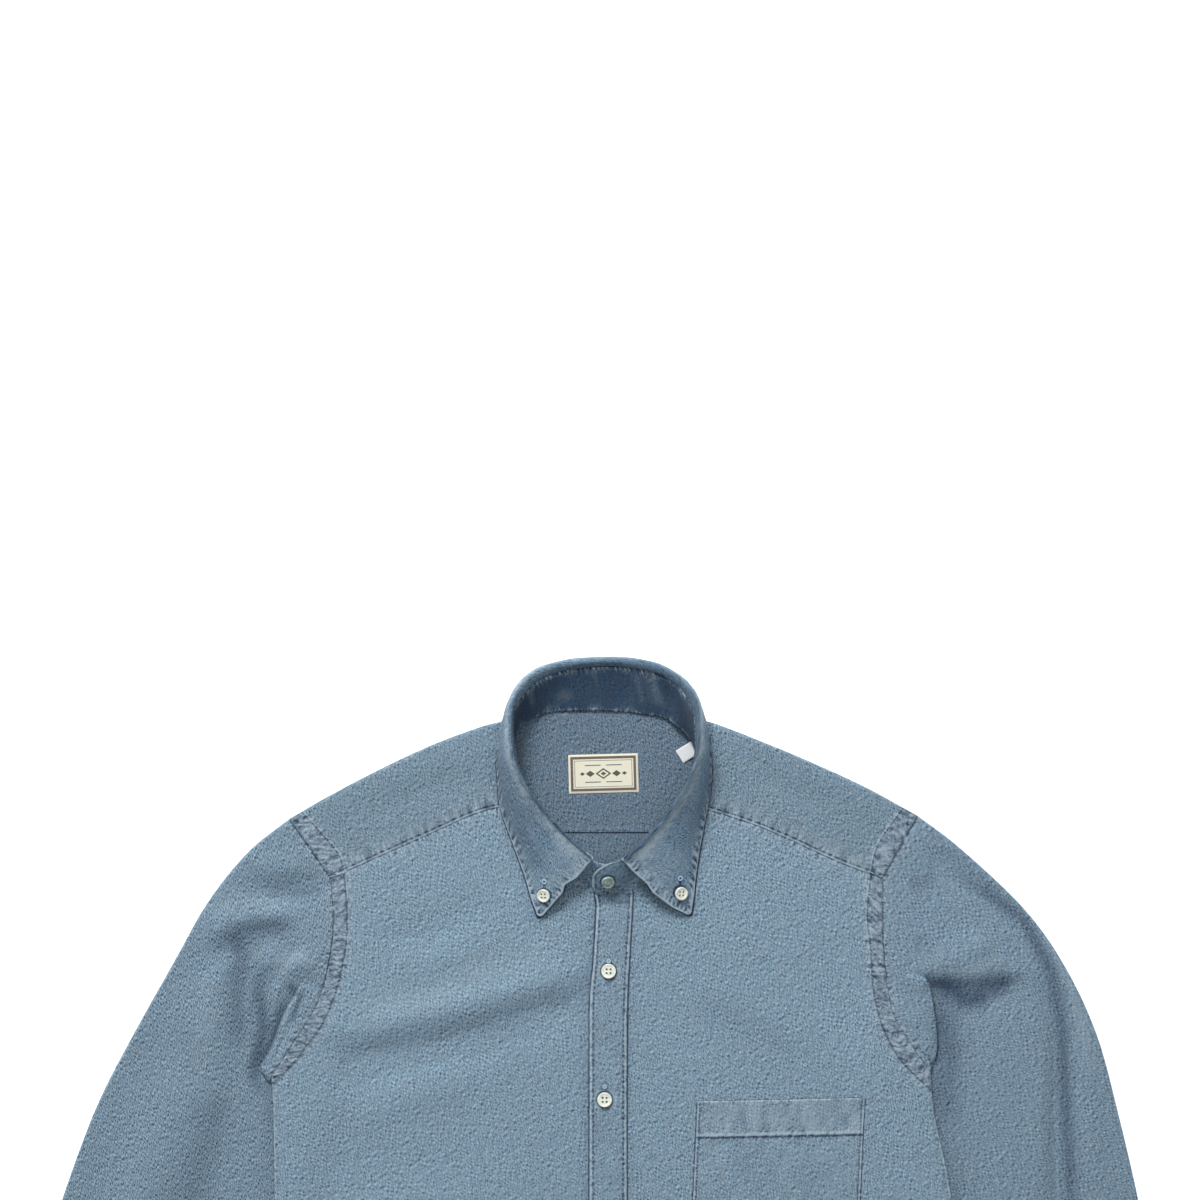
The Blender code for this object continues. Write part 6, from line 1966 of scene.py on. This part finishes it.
def thread_material(name, tone):
    """Sewing thread: fine plies across it."""
    material, tree, shader = new_material(name)
    spot = add(tree, "ShaderNodeTexCoord")
    ply = add(tree, "ShaderNodeTexNoise", {"Vector": spot.outputs["Object"], "Scale": 2600.0, "Detail": 1.0})
    dark, light = linear([c * 0.85 for c in tone]), linear([min(1, c * 1.12) for c in tone])
    colour = blend_colours(tree, "MIX", ply.outputs["Fac"], dark, light)
    coat(tree, shader, colour, 0.7)
    return material


def satin_material(name, tone):
    """Buttonhole stitches: close bars across the ring."""
    material, tree, shader = new_material(name)
    spot = add(tree, "ShaderNodeTexCoord")
    bars = add(tree, "ShaderNodeTexWave",
               {"Vector": spot.outputs["Object"], "Scale": 700.0, "Distortion": 0.8},
               wave_type="BANDS", bands_direction="Y")
    colour = blend_colours(tree, "MIX", bars.outputs["Fac"], linear([c * 0.8 for c in tone]), linear(tone))
    coat(tree, shader, colour, 0.65, bars.outputs["Fac"], 0.6)
    return material


def shell_material(name, dark, light, roughness):
    """Polished shell: soft clouds of two tones."""
    material, tree, shader = new_material(name)
    spot = add(tree, "ShaderNodeTexCoord")
    cloud = add(tree, "ShaderNodeTexNoise", {"Vector": spot.outputs["Object"], "Scale": 320.0, "Detail": 3.0,
                                             "Distortion": 1.2})
    spread = add(tree, "ShaderNodeMapRange",
                 {"Value": cloud.outputs["Fac"], "From Min": 0.35, "From Max": 0.65})
    coat(tree, shader, blend_colours(tree, "MIX", spread.outputs[0], linear(dark), linear(light)), roughness)
    shader.inputs["Coat Weight"].default_value = 0.25
    shader.inputs["Coat Roughness"].default_value = 0.2
    return material


def box_mask(tree, u, v, half_u, half_v):
    """1 inside a rectangle round the middle of the label, 0 outside."""
    in_u = maths(tree, "LESS_THAN", maths(tree, "ABSOLUTE", u), half_u)
    in_v = maths(tree, "LESS_THAN", maths(tree, "ABSOLUTE", v), half_v)
    return maths(tree, "MULTIPLY", in_u, in_v)


def lozenge_mask(tree, u, v, middle_u, middle_v, half_u, half_v):
    across = maths(tree, "DIVIDE", maths(tree, "ABSOLUTE", maths(tree, "SUBTRACT", u, middle_u)), half_u)
    up = maths(tree, "DIVIDE", maths(tree, "ABSOLUTE", maths(tree, "SUBTRACT", v, middle_v)), half_v)
    return maths(tree, "LESS_THAN", maths(tree, "ADD", across, up), 1.0)


def label_material():
    """Woven label: cream ground, a dark frame and a plain row of lozenges, with no lettering."""
    material, tree, shader = new_material("label_weave")
    cloth = add(tree, "ShaderNodeUVMap", uv_map="cloth")
    parts = add(tree, "ShaderNodeSeparateXYZ", {"Vector": cloth.outputs["UV"]})
    u, v = parts.outputs["X"], parts.outputs["Y"]
    half_u, half_v = LABEL_WIDTH / 2, LABEL_HEIGHT / 2
    frame_mask = maths(tree, "SUBTRACT", box_mask(tree, u, v, half_u - 1.6, half_v - 1.6),
                       box_mask(tree, u, v, half_u - 3.6, half_v - 3.6))
    line_mask = maths(tree, "SUBTRACT", box_mask(tree, u, v, half_u - 4.6, half_v - 4.6),
                      box_mask(tree, u, v, half_u - 5.0, half_v - 5.0))
    motif = lozenge_mask(tree, u, v, 0.0, 0.0, 6.0, 4.2)
    motif = maths(tree, "SUBTRACT", motif, lozenge_mask(tree, u, v, 0.0, 0.0, 4.2, 2.9))
    motif = maths(tree, "ADD", motif, lozenge_mask(tree, u, v, 0.0, 0.0, 2.2, 1.5))
    for way in (-1, 1):
        motif = maths(tree, "ADD", motif, lozenge_mask(tree, u, v, way * 10.0, 0.0, 3.4, 2.4))
        motif = maths(tree, "ADD", motif, lozenge_mask(tree, u, v, way * 16.0, 0.0, 2.0, 1.4))
        for row in (-1, 1):
            bar = maths(tree, "MULTIPLY", maths(tree, "LESS_THAN", maths(tree, "ABSOLUTE", maths(
                tree, "SUBTRACT", v, row * 6.4)), 0.35), maths(tree, "LESS_THAN", maths(
                    tree, "ABSOLUTE", maths(tree, "SUBTRACT", u, way * 8.0)), 6.0))
            motif = maths(tree, "ADD", motif, bar)
    grain = streaks(tree, cloth.outputs["UV"], 0.9, 0.35, 0, shift=2.0)
    hatch = streaks(tree, cloth.outputs["UV"], 1.2, 0.5, 45, shift=4.0)
    frame_tone = blend_colours(tree, "MIX", hatch, linear((0.16, 0.13, 0.12)), linear((0.55, 0.48, 0.44)))
    ground = blend_colours(tree, "MIX", grain, linear((0.80, 0.79, 0.71)), linear((0.93, 0.92, 0.85)))
    colour = blend_colours(tree, "MIX", frame_mask, ground, frame_tone)
    dark = add(tree, "ShaderNodeClamp", {"Value": maths(tree, "ADD", line_mask, motif)})
    colour = blend_colours(tree, "MIX", maths(tree, "MULTIPLY", dark.outputs[0], 0.9), colour,
                           linear((0.13, 0.11, 0.11)))
    coat(tree, shader, colour, 0.75, grain)
    return material


def tape_material():
    material, tree, shader = new_material("tape_weave")
    cloth = add(tree, "ShaderNodeUVMap", uv_map="cloth")
    grain = streaks(tree, cloth.outputs["UV"], 0.8, 0.4, 0, shift=1.0)
    colour = blend_colours(tree, "MIX", grain, linear((0.80, 0.82, 0.84)), linear((0.95, 0.95, 0.95)))
    coat(tree, shader, colour, 0.7, grain)
    return material


def floor_material():
    """White card, bright enough that the shirt's own shadow does not show on it."""
    material, tree, shader = new_material("pale_floor")
    spot = add(tree, "ShaderNodeTexCoord")
    cloud = add(tree, "ShaderNodeTexNoise", {"Vector": spot.outputs["Object"], "Scale": 6.0, "Detail": 2.0})
    tone = blend_colours(tree, "MIX", cloud.outputs["Fac"], linear((0.98, 0.98, 0.98)), linear((1, 1, 1)))
    coat(tree, shader, tone, 0.9)
    tree.links.new(tone, shader.inputs["Emission Color"])
    shader.inputs["Emission Strength"].default_value = 0.55
    return material


def make_materials():
    groups = grain_group(), seam_group(), chambray_colour_group()
    return {
        "face": chambray("chambray_face", (0.414, 0.524, 0.601), groups),
        "band": chambray("chambray_band", (0.398, 0.499, 0.584), groups),
        "yoke": chambray("chambray_yoke", (0.385, 0.486, 0.556), groups),
        "sleeve": chambray("chambray_sleeve", (0.404, 0.509, 0.587), groups, bump=0.7),
        "collar": chambray("chambray_collar", (0.358, 0.482, 0.572), groups, contrast=0.58),
        # The stand's inner face is a deeper blue: unworn indigo, darkened further as painted shade inside the
        # neck.
        "stand": chambray("chambray_stand", (0.107, 0.21, 0.323), groups),
        "reverse": chambray("chambray_reverse", (0.315, 0.396, 0.471), groups),
        "thread": thread_material("blue_thread", (0.38, 0.46, 0.54)),
        "dark_thread": thread_material("navy_thread", (0.13, 0.16, 0.20)),
        "buttonhole": satin_material("buttonhole_silk", (0.74, 0.86, 0.96)),
        "button": shell_material("cream_shell", (0.83, 0.85, 0.79), (0.94, 0.95, 0.91), 0.32),
        "pearl": shell_material("smoke_shell", (0.46, 0.54, 0.51), (0.68, 0.74, 0.71), 0.22),
        "label": label_material(),
        "tape": tape_material(),
    }


# ---------------------------------------------------------------- stage
CAMERA_OVER = (-4.6, 43.3)     # plan point in the middle of the picture, mm
CAMERA_HEIGHT = 2.75           # metres
FRAME_WIDTH = 0.912            # metres of table across the picture


def stage():
    camera = in_scene("camera", bpy.data.cameras.new("camera"))
    x, y = (np.array(CAMERA_OVER) + ORIGIN[:2]) * MM
    camera.location = (x, y, CAMERA_HEIGHT)
    camera.data.sensor_width = 36.0
    camera.data.lens = 36.0 * CAMERA_HEIGHT / FRAME_WIDTH
    bpy.context.scene.camera = camera

    deselect()
    bpy.ops.mesh.primitive_plane_add(size=8.0, location=(0, 0, -0.0005))
    floor = bpy.context.object
    floor.name = "floor"
    floor.data.materials.append(floor_material())

    world = bpy.data.worlds.new("studio")
    bpy.context.scene.world = world
    world.use_nodes = True
    world.node_tree.nodes["Background"].inputs["Color"].default_value = (0.95, 0.97, 1.0, 1)
    world.node_tree.nodes["Background"].inputs["Strength"].default_value = 0.30
    for name, where, size, power, tone in (
            ("key", (-0.75, 2.75, 2.0), 1.0, 122, (1.0, 0.99, 0.97)),
            ("fill", (0.6, 0.4, 3.2), 2.6, 22, (0.97, 0.98, 1.0))):
        lamp = bpy.data.lights.new(name, "AREA")
        lamp.size, lamp.energy, lamp.color = size, power, tone
        light = in_scene(name, lamp)
        light.location = where
        light.rotation_euler = (Vector((0, 0.2, 0)) - Vector(where)).to_track_quat("-Z", "Y").to_euler()
    bpy.context.scene.view_settings.view_transform = "Standard"


def main():
    MATERIALS.update(make_materials())
    sewing = {part: Sewing() for part in ("body", "cuffs", "placket", "pocket", "collar")}
    back_piece = back()
    fronts = {side: front(side, sewing["body"]) for side in SIDES}
    yoke_piece = yoke()
    band_pieces = bands(sewing["body"])
    sleeves = {side: sleeve(side) for side in SIDES}
    armpits = {side: armpit_fold(side) for side in SIDES}
    cuffs = {side: cuff(side, sewing["cuffs"]) for side in SIDES}
    placket_piece = placket(sewing["placket"])
    pocket_piece = pocket(sewing["pocket"])
    stand_piece, stand_spot = stand(sewing["collar"])
    leaf_piece, leaf_surface = leaf(sewing["collar"])
    label_piece, tab_piece = neck_label(), size_tab()
    button_pieces = buttons(leaf_surface, stand_spot)
    stitching = {part: runs.make(f"stitching_{part}") for part, runs in sewing.items()}
    stands_for = [(back_piece, "back_panel"), (yoke_piece, "yoke"), (placket_piece, "placket"),
                  (pocket_piece, "pocket"), (stand_piece, "collar_stand"), (leaf_piece, "collar_leaf"),
                  (label_piece, "neck_label"), (tab_piece, "size_tab")]
    for side in SIDES:
        stands_for += [(fronts[side], f"front_{side}"), (sleeves[side], f"sleeve_{side}"),
                       (cuffs[side], f"cuff_{side}")]
    for piece, node in stands_for:
        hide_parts(node)
    chambray_pieces = [back_piece, yoke_piece, placket_piece, pocket_piece, stand_piece, leaf_piece,
                       *fronts.values(), *sleeves.values(), *cuffs.values(), *armpits.values(), *band_pieces,
                       *stitching.values()]
    for piece in [*chambray_pieces, label_piece, tab_piece, *button_pieces]:
        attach(piece, "root")


main()
stage()
